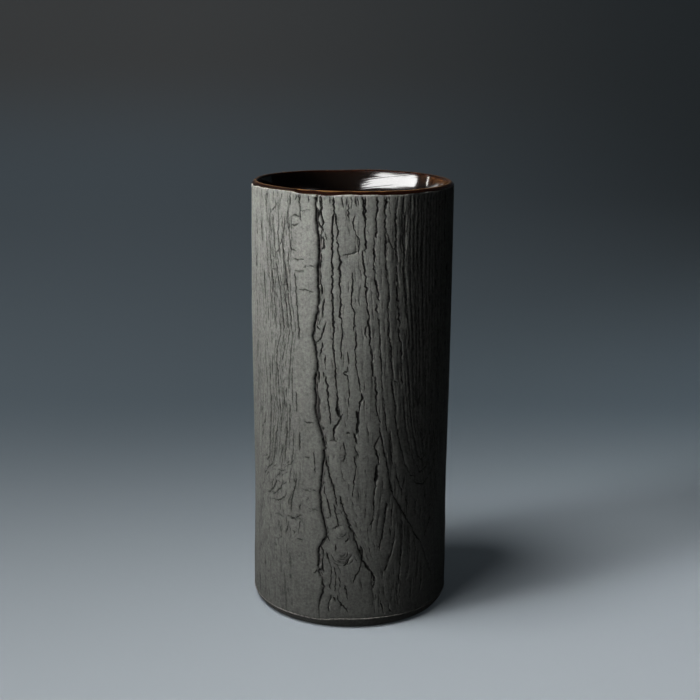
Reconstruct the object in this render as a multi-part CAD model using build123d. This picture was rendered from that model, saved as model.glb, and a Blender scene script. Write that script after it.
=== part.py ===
"""Slab-built stoneware vase: a straight black cylinder with a lapped seam and a dark glossy lining.

A potter makes it from two slabs of black clay. The wall slab is wrapped into a tube, and its two ends
are cut to a scarf and lapped, with a layer of joining slip between them. The tube stands on a round base
slab, whose edge is bevelled under. A roll of soft clay fills the inside corner. The glaze is poured in
and out again, so it lies in three coats: on the floor, up the wall, and over the bevelled lip.

The vase stands on z = 0 with its axis on Z. The seam faces -Y, a little towards -X. Sizes are in mm.
"""

import os
from math import acos, cos, degrees, radians, sin, sqrt

from build123d import *

# Overall size
rim_diameter = 100.0
vase_height = 217.0

# Clay
wall_thickness = 4.4
base_thickness = 4.4
base_bevel = 2.4  # how far the base slab's edge draws in towards the foot
slip_thickness = 0.4  # joining slip, in the seam and under the wall
coil_size = 5.0  # roll of clay in the inside corner, along the floor and up the wall
coil_dish = 0.9  # how deep the finger that pressed it in left it hollow

# Lip: the wall thins up to it from inside, then an inner round, a narrow flat crest and an outward bevel
thinning_height = 13.5
lip_round = 0.5
crest_width = 0.4
bevel_width = 1.7
bevel_height = 2.2

# Glaze
glaze_thickness = 0.5
glaze_end_thickness = 0.2  # blunt lower end of the coat over the lip
glaze_end_share = 0.9  # how far down the bevel that coat runs

# Seam, seen from outside: the left end of the slab lies over the right one
seam_angle = -16.4  # degrees round from -Y, positive towards +X
scarf_angle = 45.0  # degrees between the scarf cut and the wall's surface
lap_height = 0.9  # how proud the upper end stands at the seam
lap_spread = 32.0  # degrees round the wall over which it sinks back
lap_round = 1.2  # rounding of the upper end's edge
crease_depth = 1.1  # open crease where the two ends meet
crease_floor = 0.2  # how much wider the crease's floor is than the slip that comes out there
crease_worn_width = 0.6  # how much further the lower end's edge is worn back than its scarf

# The wall isn't quite straight, and neither is the seam
wall_swell = 0.4
seam_sway_width = 3.0
# Places up the wall, each as shares of the stock's height, of wall_swell and of seam_sway_width
wall_shares = [
    (0.0, 0.8, 0.2),
    (0.07, 1.0, 0.45),
    (0.14, 0.3, 0.0),
    (0.21, -0.4, 1.0),
    (0.28, -0.5, 0.2),
    (0.38, 0.0, 0.85),
    (0.5, 0.3, -0.65),
    (0.64, 0.4, -0.95),
    (0.79, 0.2, -0.2),
    (0.91, 0.0, -0.7),
    (1.0, 0.0, -0.7),
]

# Long open cracks that the grain and the drying left in the wall
crack_width = 1.2
crack_depth = 1.0
crack_end_share = 0.35  # how much of that depth is left at a crack's ends
# Each crack from the top down, as degrees round from -Y and shares of the vase's height
crack_shares = [
    [(-10, 0.97), (-10.8, 0.87), (-10.3, 0.77), (-9.7, 0.65), (-8, 0.56), (-6.3, 0.51)],
    [(-9.7, 0.343), (-5.7, 0.304), (-1.1, 0.263), (3, 0.217), (7, 0.17)],
    [(0.2, 0.816), (-0.2, 0.765), (1.3, 0.7), (2.6, 0.64), (5, 0.562), (3.9, 0.49)],
    [(6.9, 0.97), (7, 0.885), (7.7, 0.8), (9, 0.724), (10.3, 0.664), (11.6, 0.604)],
    [(13, 0.585), (14, 0.52), (17.2, 0.456), (20.6, 0.39), (23.4, 0.334), (30.4, 0.28)],
    [(34, 0.255), (38.4, 0.228), (45.8, 0.184), (51.6, 0.134)],
    [(15.1, 0.415), (15.1, 0.364), (13.8, 0.32), (12.8, 0.267)],
    [(17.9, 0.97), (18, 0.87), (19.7, 0.793), (20.1, 0.72), (22.2, 0.627), (25.8, 0.484)],
    [(24.2, 0.963), (23.8, 0.885), (25.3, 0.783), (26.6, 0.7), (29.1, 0.58)],
    [(27.7, 0.442), (30.9, 0.4), (36.1, 0.36)],
    [(25.4, 0.203), (22.9, 0.168), (20.5, 0.143)],
    [(20.1, 0.276), (18.3, 0.219), (17.1, 0.194)],
    [(53.9, 0.267), (53.1, 0.24), (49.6, 0.21)],
    [(32.4, 0.97), (32.8, 0.857), (34.4, 0.737), (37.9, 0.52)],
    [(41.8, 0.97), (41.9, 0.82), (43.1, 0.71), (44.1, 0.62)],
    [(49.7, 0.97), (50.5, 0.737), (51, 0.516)],
    [(62, 0.97), (62.3, 0.82), (62.9, 0.664)],
    [(77, 0.94), (80, 0.79), (76, 0.6), (81, 0.44), (78, 0.29)],
    [(92, 0.97), (90, 0.85), (94, 0.69), (91, 0.55)],
    [(94, 0.48), (97, 0.36), (94, 0.23), (98, 0.12)],
    [(107, 0.95), (108, 0.79), (105, 0.64), (108, 0.5), (104, 0.35), (106, 0.21)],
    [(120, 0.91), (118, 0.76), (122, 0.62), (120, 0.47)],
    [(122, 0.4), (120, 0.27), (123, 0.14)],
    [(136, 0.96), (137, 0.78), (140, 0.6), (146, 0.43)],
    [(130, 0.67), (135, 0.39), (145, 0.25)],
    [(165, 0.95), (163, 0.77), (160, 0.59), (154, 0.43)],
    [(171, 0.67), (165, 0.4), (156, 0.25)],
    [(179, 0.96), (177, 0.81), (181, 0.65), (178, 0.48), (182, 0.32), (180, 0.17)],
    [(193, 0.94), (195, 0.79), (192, 0.65), (196, 0.52)],
    [(197, 0.45), (194, 0.3), (197, 0.15)],
    [(208, 0.96), (206, 0.83), (210, 0.67), (208, 0.5), (211, 0.34), (209, 0.19)],
    [(223, 0.93), (224, 0.77), (221, 0.62), (224, 0.47)],
    [(226, 0.4), (223, 0.27), (226, 0.13)],
    [(238, 0.96), (236, 0.81), (240, 0.64), (236, 0.47), (239, 0.31)],
]

overrun = 6.0  # how far a cutting shape runs past what it cuts

# Sizes worked out from those above
rim_radius = rim_diameter / 2
foot_radius = rim_radius + wall_swell * wall_shares[0][1]
inner_radius = rim_radius - wall_thickness
glazed_radius = inner_radius - glaze_thickness
floor_radius = inner_radius - coil_size
lip_inner_radius = rim_radius - bevel_width - crest_width - lip_round
wall_bottom = base_thickness + slip_thickness
coil_top = base_thickness + coil_size
clay_top = vase_height - glaze_thickness
lip_start = clay_top - lip_round
thinning_start = lip_start - thinning_height
bevel_drop = bevel_height - glaze_thickness  # the clay's own fall along the bevel
stock_top = vase_height + overrun


def turned(*edges):
    """Solid of revolution about Z from edges that close an outline in radius and height."""
    return revolve(Plane.XZ * make_face(edges), Axis.Z)


def turned_polygon(*points):
    """Solid of revolution about Z from straight-sided corners in radius and height."""
    return turned(Polyline(*points, close=True))


def on_plan(radius, angle, shift=0.0):
    """Point at a radius and an angle in degrees round from -Y, moved round that circle by shift."""
    turn = radians(angle) + shift / radius
    return (radius * sin(turn), -radius * cos(turn))


def scarf_turn(radius, wall_radius, depth):
    """Degrees from the seam to where the scarf reaches a radius, depth inside the upper end's face."""
    nearest = wall_radius * cos(radians(scarf_angle)) - depth  # from the axis to that face
    return degrees(acos(nearest / radius)) - scarf_angle


def up_the_wall(outline):
    """Smooth solid through the outlines that a function of wall radius and seam angle gives up the wall."""
    sections = []
    for height_share, swell_share, sway_share in wall_shares:
        height = wall_bottom + (stock_top - wall_bottom) * height_share
        wall_radius = rim_radius + wall_swell * swell_share
        angle = seam_angle + degrees(seam_sway_width * sway_share / wall_radius)
        sections.append(Pos(0, 0, height) * make_face(outline(wall_radius, angle)))
    return loft(sections)


def outside_outline(wall_radius, angle):
    """Plan of the wall's outside, with its lap and the crease along the seam."""
    crease_radius = wall_radius - crease_depth
    proud_radius = wall_radius + lap_height
    slip_side = slip_thickness + crease_floor / 2
    upper_end = angle + scarf_turn(crease_radius, wall_radius, -crease_floor / 2)
    lower_end = angle + scarf_turn(crease_radius, wall_radius, slip_side)
    worn_end = angle + scarf_turn(wall_radius, wall_radius, slip_side)
    lap_end = angle - lap_spread
    edge_start = on_plan(proud_radius - lap_round, upper_end)
    edge_share = 1 - sqrt(0.5)
    edge_middle = on_plan(proud_radius - lap_round * edge_share, upper_end, -lap_round * edge_share)
    edge_stop = on_plan(proud_radius, upper_end, -lap_round)
    crease_stop = on_plan(wall_radius, worn_end, crease_worn_width)
    return [
        ThreePointArc(edge_start, edge_middle, edge_stop),
        # A quarter of the lap's height halfway round, so that it ends at a tangent to the wall
        ThreePointArc(
            edge_stop,
            on_plan(wall_radius + lap_height / 4, (upper_end + lap_end) / 2, -lap_round / 2),
            on_plan(wall_radius, lap_end),
        ),
        ThreePointArc(on_plan(wall_radius, lap_end), on_plan(wall_radius, angle + 180), crease_stop),
        Line(crease_stop, on_plan(crease_radius, lower_end)),
        Line(on_plan(crease_radius, lower_end), on_plan(crease_radius, upper_end)),
        Line(on_plan(crease_radius, upper_end), edge_start),
    ]


def scarf_outline(wall_radius, angle):
    """Plan of the gap that the slip fills, run on past the crease's floor and the bore."""
    inside = inner_radius - overrun / 2
    outside = wall_radius - crease_depth + crease_floor
    corners = [(outside, 0), (outside, slip_thickness), (inside, slip_thickness), (inside, 0)]
    points = [on_plan(radius, angle + scarf_turn(radius, wall_radius, depth)) for radius, depth in corners]
    return [Polyline(*points, close=True)]


def thinning_arc(offset):
    """Inner face of the wall where it thins towards the lip, moved into the vase by offset.

    It leaves the straight wall at a tangent, so halfway up it has moved out by a quarter.
    """
    gain = lip_inner_radius - inner_radius
    return ThreePointArc(
        (inner_radius - offset, thinning_start),
        (inner_radius - offset + gain / 4, (thinning_start + lip_start) / 2),
        (lip_inner_radius - offset, lip_start),
    )


def lip_arc(offset):
    """Round from the thinned wall to the crest, moved into the vase by offset."""
    centre_radius = lip_inner_radius + lip_round
    reach = lip_round + offset
    return ThreePointArc(
        (centre_radius - reach, lip_start),
        (centre_radius - reach * sqrt(0.5), lip_start + reach * sqrt(0.5)),
        (centre_radius, lip_start + reach),
    )


def hollow():
    """All that is cut away inside the vase and above its clay lip, from the axis outwards."""
    beyond = rim_radius + overrun
    bevel_end = clay_top - bevel_drop * (bevel_width + overrun) / bevel_width
    return turned(
        Polyline((0, -overrun), (inner_radius, -overrun), (inner_radius, thinning_start)),
        thinning_arc(0),
        lip_arc(0),
        Polyline(
            (lip_inner_radius + lip_round, clay_top),
            (rim_radius - bevel_width, clay_top),
            (beyond, bevel_end),
            (beyond, stock_top + overrun),
            (0, stock_top + overrun),
            (0, -overrun),
        ),
    )


def crack(places):
    """Wedge that cuts one crack: its sharp edge runs down the wall from place to place.

    Its back stands as far outside the wall as the crack is deep, so that it is wider there.
    """
    sections = []
    for angle, height_share in places:
        depth_share = crack_end_share if (angle, height_share) in (places[0], places[-1]) else 1
        height = vase_height * height_share
        back = crack_width * (1 + depth_share) / 2
        corners = [
            on_plan(rim_radius - crack_depth * depth_share, angle),
            on_plan(rim_radius + crack_depth, angle, back),
            on_plan(rim_radius + crack_depth, angle, -back),
        ]
        sections.append(Pos(0, 0, height) * make_face([Polyline(*corners, close=True)]))
    return loft(sections, ruled=True)


def base_slab():
    """Round slab that the wall stands on, bevelled under to the foot."""
    return turned_polygon(
        (0, 0), (foot_radius - base_bevel, 0), (foot_radius, base_thickness), (0, base_thickness)
    )


def foot_slip():
    """Ring of joining slip between the base slab and the wall."""
    return turned_polygon(
        (inner_radius, base_thickness),
        (foot_radius, base_thickness),
        (foot_radius, wall_bottom),
        (inner_radius, wall_bottom),
    )


def pressed_arc(offset):
    """Hollow face of the corner coil, from the wall to the floor, moved into the vase by offset."""
    wall_end = (inner_radius - offset, coil_top)
    floor_end = (floor_radius, base_thickness + offset)
    hollow_depth = (coil_dish - offset) / sqrt(2)
    middle = (
        (inner_radius + floor_radius) / 2 + hollow_depth,
        (base_thickness + coil_top) / 2 - hollow_depth,
    )
    return ThreePointArc(wall_end, middle, floor_end)


def corner_coil():
    """Roll of soft clay pressed into the inside corner."""
    return turned(
        pressed_arc(0),
        Polyline((floor_radius, base_thickness), (inner_radius, base_thickness), (inner_radius, coil_top)),
    )


def wall_glaze():
    """Coat up the inside of the wall, from the foot of the coil to the start of the lip."""
    return turned(
        pressed_arc(0),
        Line((floor_radius, base_thickness), (floor_radius, base_thickness + glaze_thickness)),
        pressed_arc(glaze_thickness),
        Line((glazed_radius, coil_top), (glazed_radius, thinning_start)),
        thinning_arc(glaze_thickness),
        Line((lip_inner_radius - glaze_thickness, lip_start), (lip_inner_radius, lip_start)),
        thinning_arc(0),
        Line((inner_radius, thinning_start), (inner_radius, coil_top)),
    )


def floor_glaze():
    """Coat on the floor, inside the coil."""
    top = base_thickness + glaze_thickness
    return turned_polygon((0, base_thickness), (floor_radius, base_thickness), (floor_radius, top), (0, top))


def lip_glaze():
    """Coat over the lip: round the inside, across the crest and most of the way down the bevel."""
    bevel_length = sqrt(bevel_width**2 + bevel_drop**2)
    end = (
        rim_radius - bevel_width * (1 - glaze_end_share),
        clay_top - bevel_drop * glaze_end_share,
    )
    end_outside = (
        end[0] + glaze_end_thickness * bevel_drop / bevel_length,
        end[1] + glaze_end_thickness * bevel_width / bevel_length,
    )
    crest_start = lip_inner_radius + lip_round
    crest_end = rim_radius - bevel_width
    return turned(
        lip_arc(glaze_thickness),
        Polyline(
            (crest_start, vase_height),
            (crest_end, vase_height),
            end_outside,
            end,
            (crest_end, clay_top),
            (crest_start, clay_top),
        ),
        lip_arc(0),
        Line((lip_inner_radius, lip_start), (lip_inner_radius - glaze_thickness, lip_start)),
    )


def write(name, shape):
    """Writes one node's STEP file."""
    export_step(shape, os.path.join("parts", name + ".step"))


os.makedirs("parts", exist_ok=True)
ring = up_the_wall(outside_outline) - hollow()
scarf = up_the_wall(scarf_outline)
write("wall_slab", ring - scarf - [crack(places) for places in crack_shares])
write("lap_slip", ring & scarf)
write("foot_slip", foot_slip())
write("base_slab", base_slab())
write("corner_coil", corner_coil())
write("wall_glaze", wall_glaze())
write("floor_glaze", floor_glaze())
write("lip_glaze", lip_glaze())
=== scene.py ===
"""Slab Vase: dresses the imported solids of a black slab-built vase, and sets it in a plain studio.

The wall gets the relief that the slab took from a plank: long drying cracks, ridges, nested arches of
grain and a lapped seam. The lip and the lining get thin glossy glaze. The script works in millimetres
and turns them to metres as each mesh is made. A place on the wall is (around, up): how far round it lies
from -Y, growing towards +X, and its height.
"""

from math import atan, pi, radians, sin, sqrt

import bpy
import numpy as np
from mathutils import Matrix, Vector


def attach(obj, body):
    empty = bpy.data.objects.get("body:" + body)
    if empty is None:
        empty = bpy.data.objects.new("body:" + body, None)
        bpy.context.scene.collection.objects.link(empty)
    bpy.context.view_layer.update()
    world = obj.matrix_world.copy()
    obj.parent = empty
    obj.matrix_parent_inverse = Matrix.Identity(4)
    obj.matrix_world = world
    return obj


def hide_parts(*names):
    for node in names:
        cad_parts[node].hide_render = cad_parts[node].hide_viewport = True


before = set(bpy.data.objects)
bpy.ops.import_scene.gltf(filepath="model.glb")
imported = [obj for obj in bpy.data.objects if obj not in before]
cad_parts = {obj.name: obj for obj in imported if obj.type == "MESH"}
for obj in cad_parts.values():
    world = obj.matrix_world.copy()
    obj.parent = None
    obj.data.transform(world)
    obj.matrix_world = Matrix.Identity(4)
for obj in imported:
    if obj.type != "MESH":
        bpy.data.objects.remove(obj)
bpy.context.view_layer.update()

bl_info = {
    "name": "Slab Vase",
    "version": (1, 0, 0),
    "blender": (4, 5, 0),
    "location": "3D View > Sidebar > Slab Vase",
    "description": "Makes the cracked clay, the glaze and the studio of a slab-built vase",
    "category": "Mesh",
}

# The vase's own sizes, in mm, as its solids have them
rim_radius = 50.0
girth = 2 * pi * rim_radius
vase_height = 217.0
inner_radius = 45.6
glaze_thickness = 0.5
base_top = 4.4
coil_size = 5.0
coil_dish = 0.9
lip_inner_radius = 47.4
lip_round = 0.5
crest_radius = 48.3  # where the flat crest ends and the bevel starts
clay_top = vase_height - glaze_thickness
lip_start = clay_top - lip_round
thinning_start = lip_start - 13.5
dip_from, dip_rise = 196, 20  # height from which the lip's dips show, and over what way they grow
bevel_shares = (0.04, 0.12, 0.3, 0.6, 0.9, 1.0)  # how far in over the bevel each of its rows lies
foot_bevel = 2.4
foot_swell = 0.3  # how far the foot stands out past the plain cylinder
box_reach = 50.46  # how far the solids' square box leaves the outside room along X and along Y

# The foot's rows over its crisp edge, as (how far out, how far down), and how far its bevel bulges
foot_edge_rows = ((0.06, 0.3), (0.1, 0.16), (0.06, 0.05), (-0.12, 0.0), (-0.5, 0.0))
foot_bulge = 0.35

# The bead of slip that shows in the seam
bead_bottom, bead_top, bead_rows = 6.5, 213, 520
bead_shift = 0.5  # how far to the right of the seam's line it lies
bead_depth = 0.95  # how far in from the wall's face its middle lies
bead_half_width, bead_half_rise = 0.32, 0.3
bead_torn_at, bead_torn_reach, bead_torn_lift = 32, 8, 0.55  # where it lies torn up, and how far

# The lip's coat: how far down the bevel it ends, and how much that wavers
coat_end, coat_waver = 0.9, 0.016
# How far back from its end each row on the bevel lies, how thick the coat is there, and how gold
coat_rows = (
    (0.0, 0.1, 0.25), (0.01, 0.19, 0.2), (0.05, 0.27, 0.1), (0.12, 0.31, 0.0), (0.3, 0.36, 0.0),
    (0.5, 0.4, 0.0), (0.66, 0.44, 0.0), (0.76, 0.46, 0.05), (0.84, 0.47, 0.4),
)
crest_gold = (1.0, 0.9, 0.5, 0.1, 0.0, 0.0, 0.0, 0.0, 0.0, 0.0)  # of each row from the crest inwards
thin_share = 0.1  # how gold the rows under the coat are

# The lining's ripples: bands as (pitch, turns of their sway), lines as (how low, how steep, how strong)
lining_bands = ((2.3, 1), (3.4, 2), (5.1, 1), (7.7, 3), (11, 2), (1.6, 2))
lining_lines = ((8.0, 8.5, 1.0), (5.4, 7.8, 0.8), (9.6, 7.0, 0.7), (6.7, 8.2, 0.5))
amber_from, amber_rise = 210.5, 5.5  # height from which the lining thins to amber, and over what way
amber_turn, amber_reach = 1.85, 0.32  # turn from -Y at which it is most amber, and how far it reaches
pool_rings = (3.0, 8, 14, 20, 26, 31, 35, 38)  # radii of the rows over the floor's glaze
pool_waver = 0.04  # how far that glaze rises and falls

# The grid that the relief is worked out on
round_cells = 1570
up_cells = 740
round_cell = girth / round_cells
up_cell = 0.3
made_reliefs = {}  # the relief last worked out, by the sizes that it was made for

front_reach = 80.0  # how far round to each side the wall's columns lie close together
front_steps = {"quick": 0.4, "full": 0.2}
back_steps = {"quick": 0.55, "full": 0.45}
wall_rows = {"quick": 320, "full": 640}
foot_columns = 720
lip_columns = 900
lining_columns = 480

# The lap and the crease at the seam
lap_spread = 28.0  # how far round the lap sinks back
lap_round = 2.6  # how far round its edge is rounded
lap_round_share = 0.55  # how deep that rounding is, as a share of its width
lap_full_height = 24.0  # how high up the lap stands fully proud
worn_width = 0.3  # how far the lap's own edge is worn back
widest_at, widest_reach = 111, 8  # height at which the crease gapes most, and how far it does
tear_at, tear_reach, tear_width = 31, 9, 1.6  # the torn place low in the seam

# What each part adds to the relief, in mm
sink = 0.05  # the whole wall lies this far inside the plain cylinder
broad_height = 0.1
plate_height = 0.02
tear_roughness, tear_rise = 0.4, 0.15
shoulder_share = 0.18  # how far the clay beside a crack sinks, as a share of its depth
shoulder_reach = 1.2  # how far a soft shoulder runs on before its line
ridge_middle = 0.35  # share of a groove at which the ridges neither rise nor sink
bottom_round, bottom_fall = 0.9, 0.3  # height and depth of the round above the foot
top_round, top_fall = 0.7, 0.12  # the same below the lip
full_groove = 0.3  # share of the cracks' depth at which their painted shade is full
full_shallow = 0.24  # depth at which the shallow lines' painted shade is full
shallow_shade = 0.75  # how dark that painted shade is

# The wall's swell, in mm, at heights up it
swell_heights = (4.8, 20, 35, 51, 66, 88, 114, 145, 177, 203, 217)
swells = (0.32, 0.4, 0.12, -0.16, -0.2, 0, 0.12, 0.16, 0.08, 0, 0)

# Height of the clay's edge below the bevel, the lip's dips, and the edge above the foot, round the vase
lip_edge_places = (
    -74, -63, -54, -43, -32, -25.5, -16.3, -6, 3, 12.5, 22, 31, 48, 60, 74, 100, 130, 160, 190, 215,
)
lip_edge_heights = (
    214.8, 215.1, 215.4, 215.7, 215.7, 215.1, 214.4, 214.8, 215, 214.9, 214.6, 215.1, 215.2, 215.3, 215,
    214.7, 215.1, 214.7, 215.2, 214.8,
)
crest_dip_places = (-75, -50, -20, 5, 30, 60, 90, 125, 145, 165, 185, 215)
crest_dips = (0.25, 0.1, 0.3, 0.2, 0.35, 0.1, 0.3, 0.1, 0, 0.45, 0.2, 0.1)
foot_edge_places = (-60, -32, -17, -12.5, -7.5, -3.5, 15, 30, 50, 80, 120, 160, 200, 230)
foot_edge_heights = (4.3, 4.1, 4.1, 4.4, 5.1, 5.4, 5.4, 5, 4.6, 4.4, 4.9, 4.5, 5.1, 4.6)

# The seam from the lip down, and how wide and deep it lies open at heights up it
seam_line = (
    (-17.1, 217), (-17.1, 214), (-17.2, 205), (-16.7, 200), (-16, 196), (-15.6, 192), (-15.3, 189.5),
    (-15.9, 184), (-16.2, 181), (-16.1, 172), (-15.6, 169), (-15.8, 165), (-16.9, 158), (-17.6, 154),
    (-18.3, 150), (-18.5, 147), (-17.3, 142), (-16.5, 138), (-16.3, 135), (-16.4, 132), (-17.2, 128),
    (-17.7, 123), (-17.2, 120), (-16.9, 117), (-17.4, 113), (-16.7, 108.5), (-15.5, 105), (-14.3, 101.5),
    (-13.2, 98), (-12.7, 94), (-12.6, 90), (-13.2, 86), (-13.8, 80.5), (-14.5, 75), (-15, 70.5),
    (-14.6, 65.5), (-14.2, 61), (-13, 57), (-12.2, 53), (-11.5, 50), (-12, 48), (-13.5, 45.5), (-15, 43),
    (-15.8, 40.2), (-15.1, 36), (-15.3, 33), (-15, 30.5), (-15.2, 29), (-13.5, 27), (-13.5, 24.5),
    (-12.6, 22), (-13.1, 19), (-14, 15.5), (-15, 13), (-15.1, 10.5), (-15, 4),
)
seam_openness = (
    (4, 0.02), (9, 0.1), (14, 0.45), (30, 0.6), (40, 0.75), (47, 0.9), (60, 0.8), (80, 0.85), (100, 1),
    (108, 1.25), (125, 1.35), (131, 0.8), (150, 0.9), (165, 0.8), (180, 1.05), (195, 1.25), (214, 1.2),
)

# Grain lines to steer by: where each starts at the lip, then (up, around) from the foot to the lip
grain_guides = (
    (-16, ((0, -15), (43, -15), (50, -11.8), (60, -14), (75, -14.6), (92, -12.8), (120, -17.2),
     (148, -18.4), (168, -15.8), (190, -15.4), (217, -17.1))),
    (-9, ((0, 11), (15, 10), (30, 7.5), (50, 1), (65, -6), (88, -11), (98, -9), (110, -5.7), (130, -7.5),
     (150, -8.5), (180, -9.4), (217, -8.8))),
    (-2, ((0, 14), (15, 13), (30, 11), (50, 6), (65, 1), (88, -3), (98, -2), (130, -1.5), (217, -1.5))),
    (5.5, ((0, 17), (15, 16), (30, 14), (50, 10.5), (70, 12.2), (85, 13.5), (99, 14), (110, 13),
     (130, 10.3), (150, 8.7), (170, 7), (190, 6.2), (217, 5.5))),
    (11, ((0, 22), (15, 21), (30, 19), (50, 18), (65, 20), (76, 19.5), (88, 17.3), (99, 16), (120, 15),
     (140, 13.9), (165, 12.5), (190, 10.3), (217, 10.7))),
    (15.7, ((0, 27), (25, 25.5), (45, 26.5), (57, 26.5), (68, 27), (81, 28.5), (94, 25), (105, 22.6),
     (129, 20), (155, 17.5), (183, 16), (217, 15.6))),
    (21, ((0, 33), (25, 31), (45, 33), (57, 34), (68, 34), (81, 33), (94, 29), (105, 27.5), (124, 25.5),
     (145, 24.3), (165, 22.4), (190, 21), (217, 21.2))),
    (26, ((0, 40), (30, 38), (60, 40), (80, 38), (95, 34.5), (112, 30.8), (132, 28.6), (148, 28.4),
     (165, 27), (190, 25.3), (217, 25.6))),
    (36.5, ((0, 50), (30, 48), (60, 48), (80, 42), (95, 39.5), (115, 38.5), (148, 38.1), (170, 37),
     (190, 36.4), (217, 36.5))),
    (48, ((0, 60), (60, 58), (100, 50), (150, 49), (217, 48))),
    (64, ((0, 66), (60, 68), (120, 63), (217, 64))),
    (95, ((0, 97), (60, 91), (120, 99), (170, 93), (217, 95))),
    (126, ((0, 124), (70, 128), (140, 122), (217, 126))),
    (157, ((0, 160), (60, 154), (130, 159), (217, 157))),
    (188, ((0, 186), (70, 192), (140, 185), (217, 188))),
    (215, ((0, 217), (80, 212), (150, 218), (217, 215))), (245, ((0, 244), (100, 247), (217, 243))),
    (262, ((0, 263), (60, 262), (83, 266), (110, 269), (136, 268), (153, 271), (185, 268), (217, 264.5))),
    (272, ((0, 274), (60, 271), (83, 272.5), (107, 276.3), (133, 274.5), (148, 279), (167, 276.6),
     (187, 273.5), (217, 271))),
    (288, ((0, 288), (60, 286), (90, 288.5), (120, 286.5), (150, 288), (178, 286), (217, 288))),
)
grain_guides += (
    (girth + grain_guides[0][0], tuple((up, girth + at) for up, at in grain_guides[0][1])),)

# Long open cracks on the front, each as (around, up) from the top down
long_cracks = (
    ((-8.7, 214.5), (-8.7, 210), (-8.2, 207), (-9.1, 205), (-9.2, 200.5), (-9.1, 196), (-9.5, 192.5),
     (-9.4, 188.5), (-9.6, 184.5), (-9.1, 181), (-9.4, 177.5), (-9.1, 174), (-9.4, 171), (-9, 167.5),
     (-8.9, 160.5), (-8.5, 155), (-8.1, 151), (-8.7, 149), (-8.5, 142.5), (-8, 139), (-7.5, 135),
     (-7.5, 130), (-7, 126), (-6.7, 122), (-6.5, 118), (-6.2, 115), (-5.5, 110)),
    ((-8.2, 207), (-7.7, 204.2), (-7.5, 202), (-6.7, 198.5), (-7.1, 195.5), (-6.7, 193), (-6.5, 189.5),
     (-5.7, 186.5), (-5.7, 184), (-6.1, 181.5), (-5.3, 179.2), (-5.6, 176.5), (-5.7, 173.5),
     (-5.1, 169.5), (-5.6, 167.5), (-5.2, 165), (-5.6, 162.5), (-5.1, 158.5), (-4.2, 156.5),
     (-4.6, 154.5), (-4, 149.5), (-4.8, 146), (-4.7, 142.5), (-4.8, 137.7)),
    ((4.7, 214.5), (5, 210), (5.2, 206.5), (5.7, 203)),
    ((6, 214.5), (5.9, 209), (5.6, 205), (5.9, 202), (6.1, 197.5), (6.2, 194), (6.2, 188)),
    ((4.5, 189.5), (5, 187), (5.2, 184), (6, 181), (6.5, 177), (6.7, 173.5), (6.9, 171), (6.6, 168),
     (7.2, 165.5), (7.5, 162), (7.9, 159), (7.9, 155.5), (8.6, 153.5), (8.6, 149.5), (9, 144), (9.7, 140),
     (10, 137), (9.9, 133.5), (10.5, 131.5), (10, 129.5)),
    ((11.2, 129.5), (11.6, 126), (12, 122), (12.3, 118.5), (12, 115), (12.2, 112.5), (13.5, 109.5),
     (14, 106.5), (14.4, 103), (15, 99), (15.5, 96), (16.2, 92.5), (17.2, 88.5), (18, 84.5), (19, 80),
     (20, 76), (20.4, 72.5), (21.7, 68.5)),
    ((14, 99.5), (12.7, 96.5), (11.7, 94.7), (12.5, 92.5), (13.5, 88.5), (14.2, 85.5), (13.2, 84.5),
     (13.1, 80.5), (13.2, 77.5), (12.4, 76.5), (12.2, 73), (12, 69.5), (11.6, 65), (11.5, 61), (11.2, 57),
     (10, 54.5)),
    ((5.2, 121.5), (5.2, 118), (4, 117), (4, 114), (3, 110.5), (3.4, 107.5), (3.7, 105), (3.1, 101.7)),
    ((-12.4, 90), (-12, 88.5), (-11.5, 84.5), (-10.5, 81), (-9.7, 78), (-8.5, 74.5), (-7.5, 71),
     (-6.7, 67.5), (-6.5, 64.5)),
    ((-5.2, 69.5), (-4.2, 66), (-3.2, 63), (-2, 60), (-1, 57), (0.2, 53), (2, 50.5), (2.7, 47), (4.2, 43),
     (5.2, 40), (6.1, 36.5)),
    ((7.2, 34.7), (9, 33), (9.7, 30.2)), ((10.7, 30.5), (12, 27.7), (12.1, 25), (11.5, 21)),
    ((22.7, 47), (22, 43), (21.4, 38.5), (20, 36.5), (18.7, 33), (17.5, 29.5)),
    ((18.2, 65), (17.7, 60.5), (17.2, 56), (16.5, 51), (16, 47.5), (15.2, 45.5), (14.7, 41)),
    ((48, 61.5), (46.5, 58), (47, 54), (45.5, 49), (43, 45), (42, 43)),
    ((10.7, 214.5), (11.5, 212), (11.4, 207.5), (10.9, 204), (11.4, 200), (11.2, 195.5)),
    ((10.2, 195.5), (10.1, 190), (10.5, 185.5), (10.1, 182.5), (10.7, 178.5), (11.2, 174), (12.1, 170.5),
     (12.5, 167.5), (13, 165)),
    ((15.7, 214.5), (15.9, 210.5), (15.1, 207.5), (15.5, 204), (15.4, 199), (16, 193.5), (15.7, 188.5),
     (16, 183), (16.5, 179.5), (16.2, 177), (17.2, 174), (17.5, 171.5), (17.7, 167.5), (17.4, 162.5),
     (17.2, 159), (17.5, 155.5), (18.3, 152), (18, 148), (18.7, 144.5), (19.7, 140.5), (19.2, 137),
     (19.7, 133), (20.5, 129), (20, 125.5), (20.6, 121.5), (21.2, 117.5), (22.2, 113.5), (22.2, 109),
     (22.7, 105.5), (22.5, 102.5)),
    ((21.2, 214.5), (21.1, 210.5), (20.6, 206), (20.7, 201), (20.9, 196.5), (20.7, 191.5), (21, 187),
     (21.7, 183), (21.2, 178), (22.2, 174.5), (22, 171.5), (22.2, 167), (22.7, 162), (23, 157.5),
     (23.5, 153), (23.2, 148.5), (24.5, 145), (24.5, 137.5), (25, 130), (25.5, 124)),
)

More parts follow.
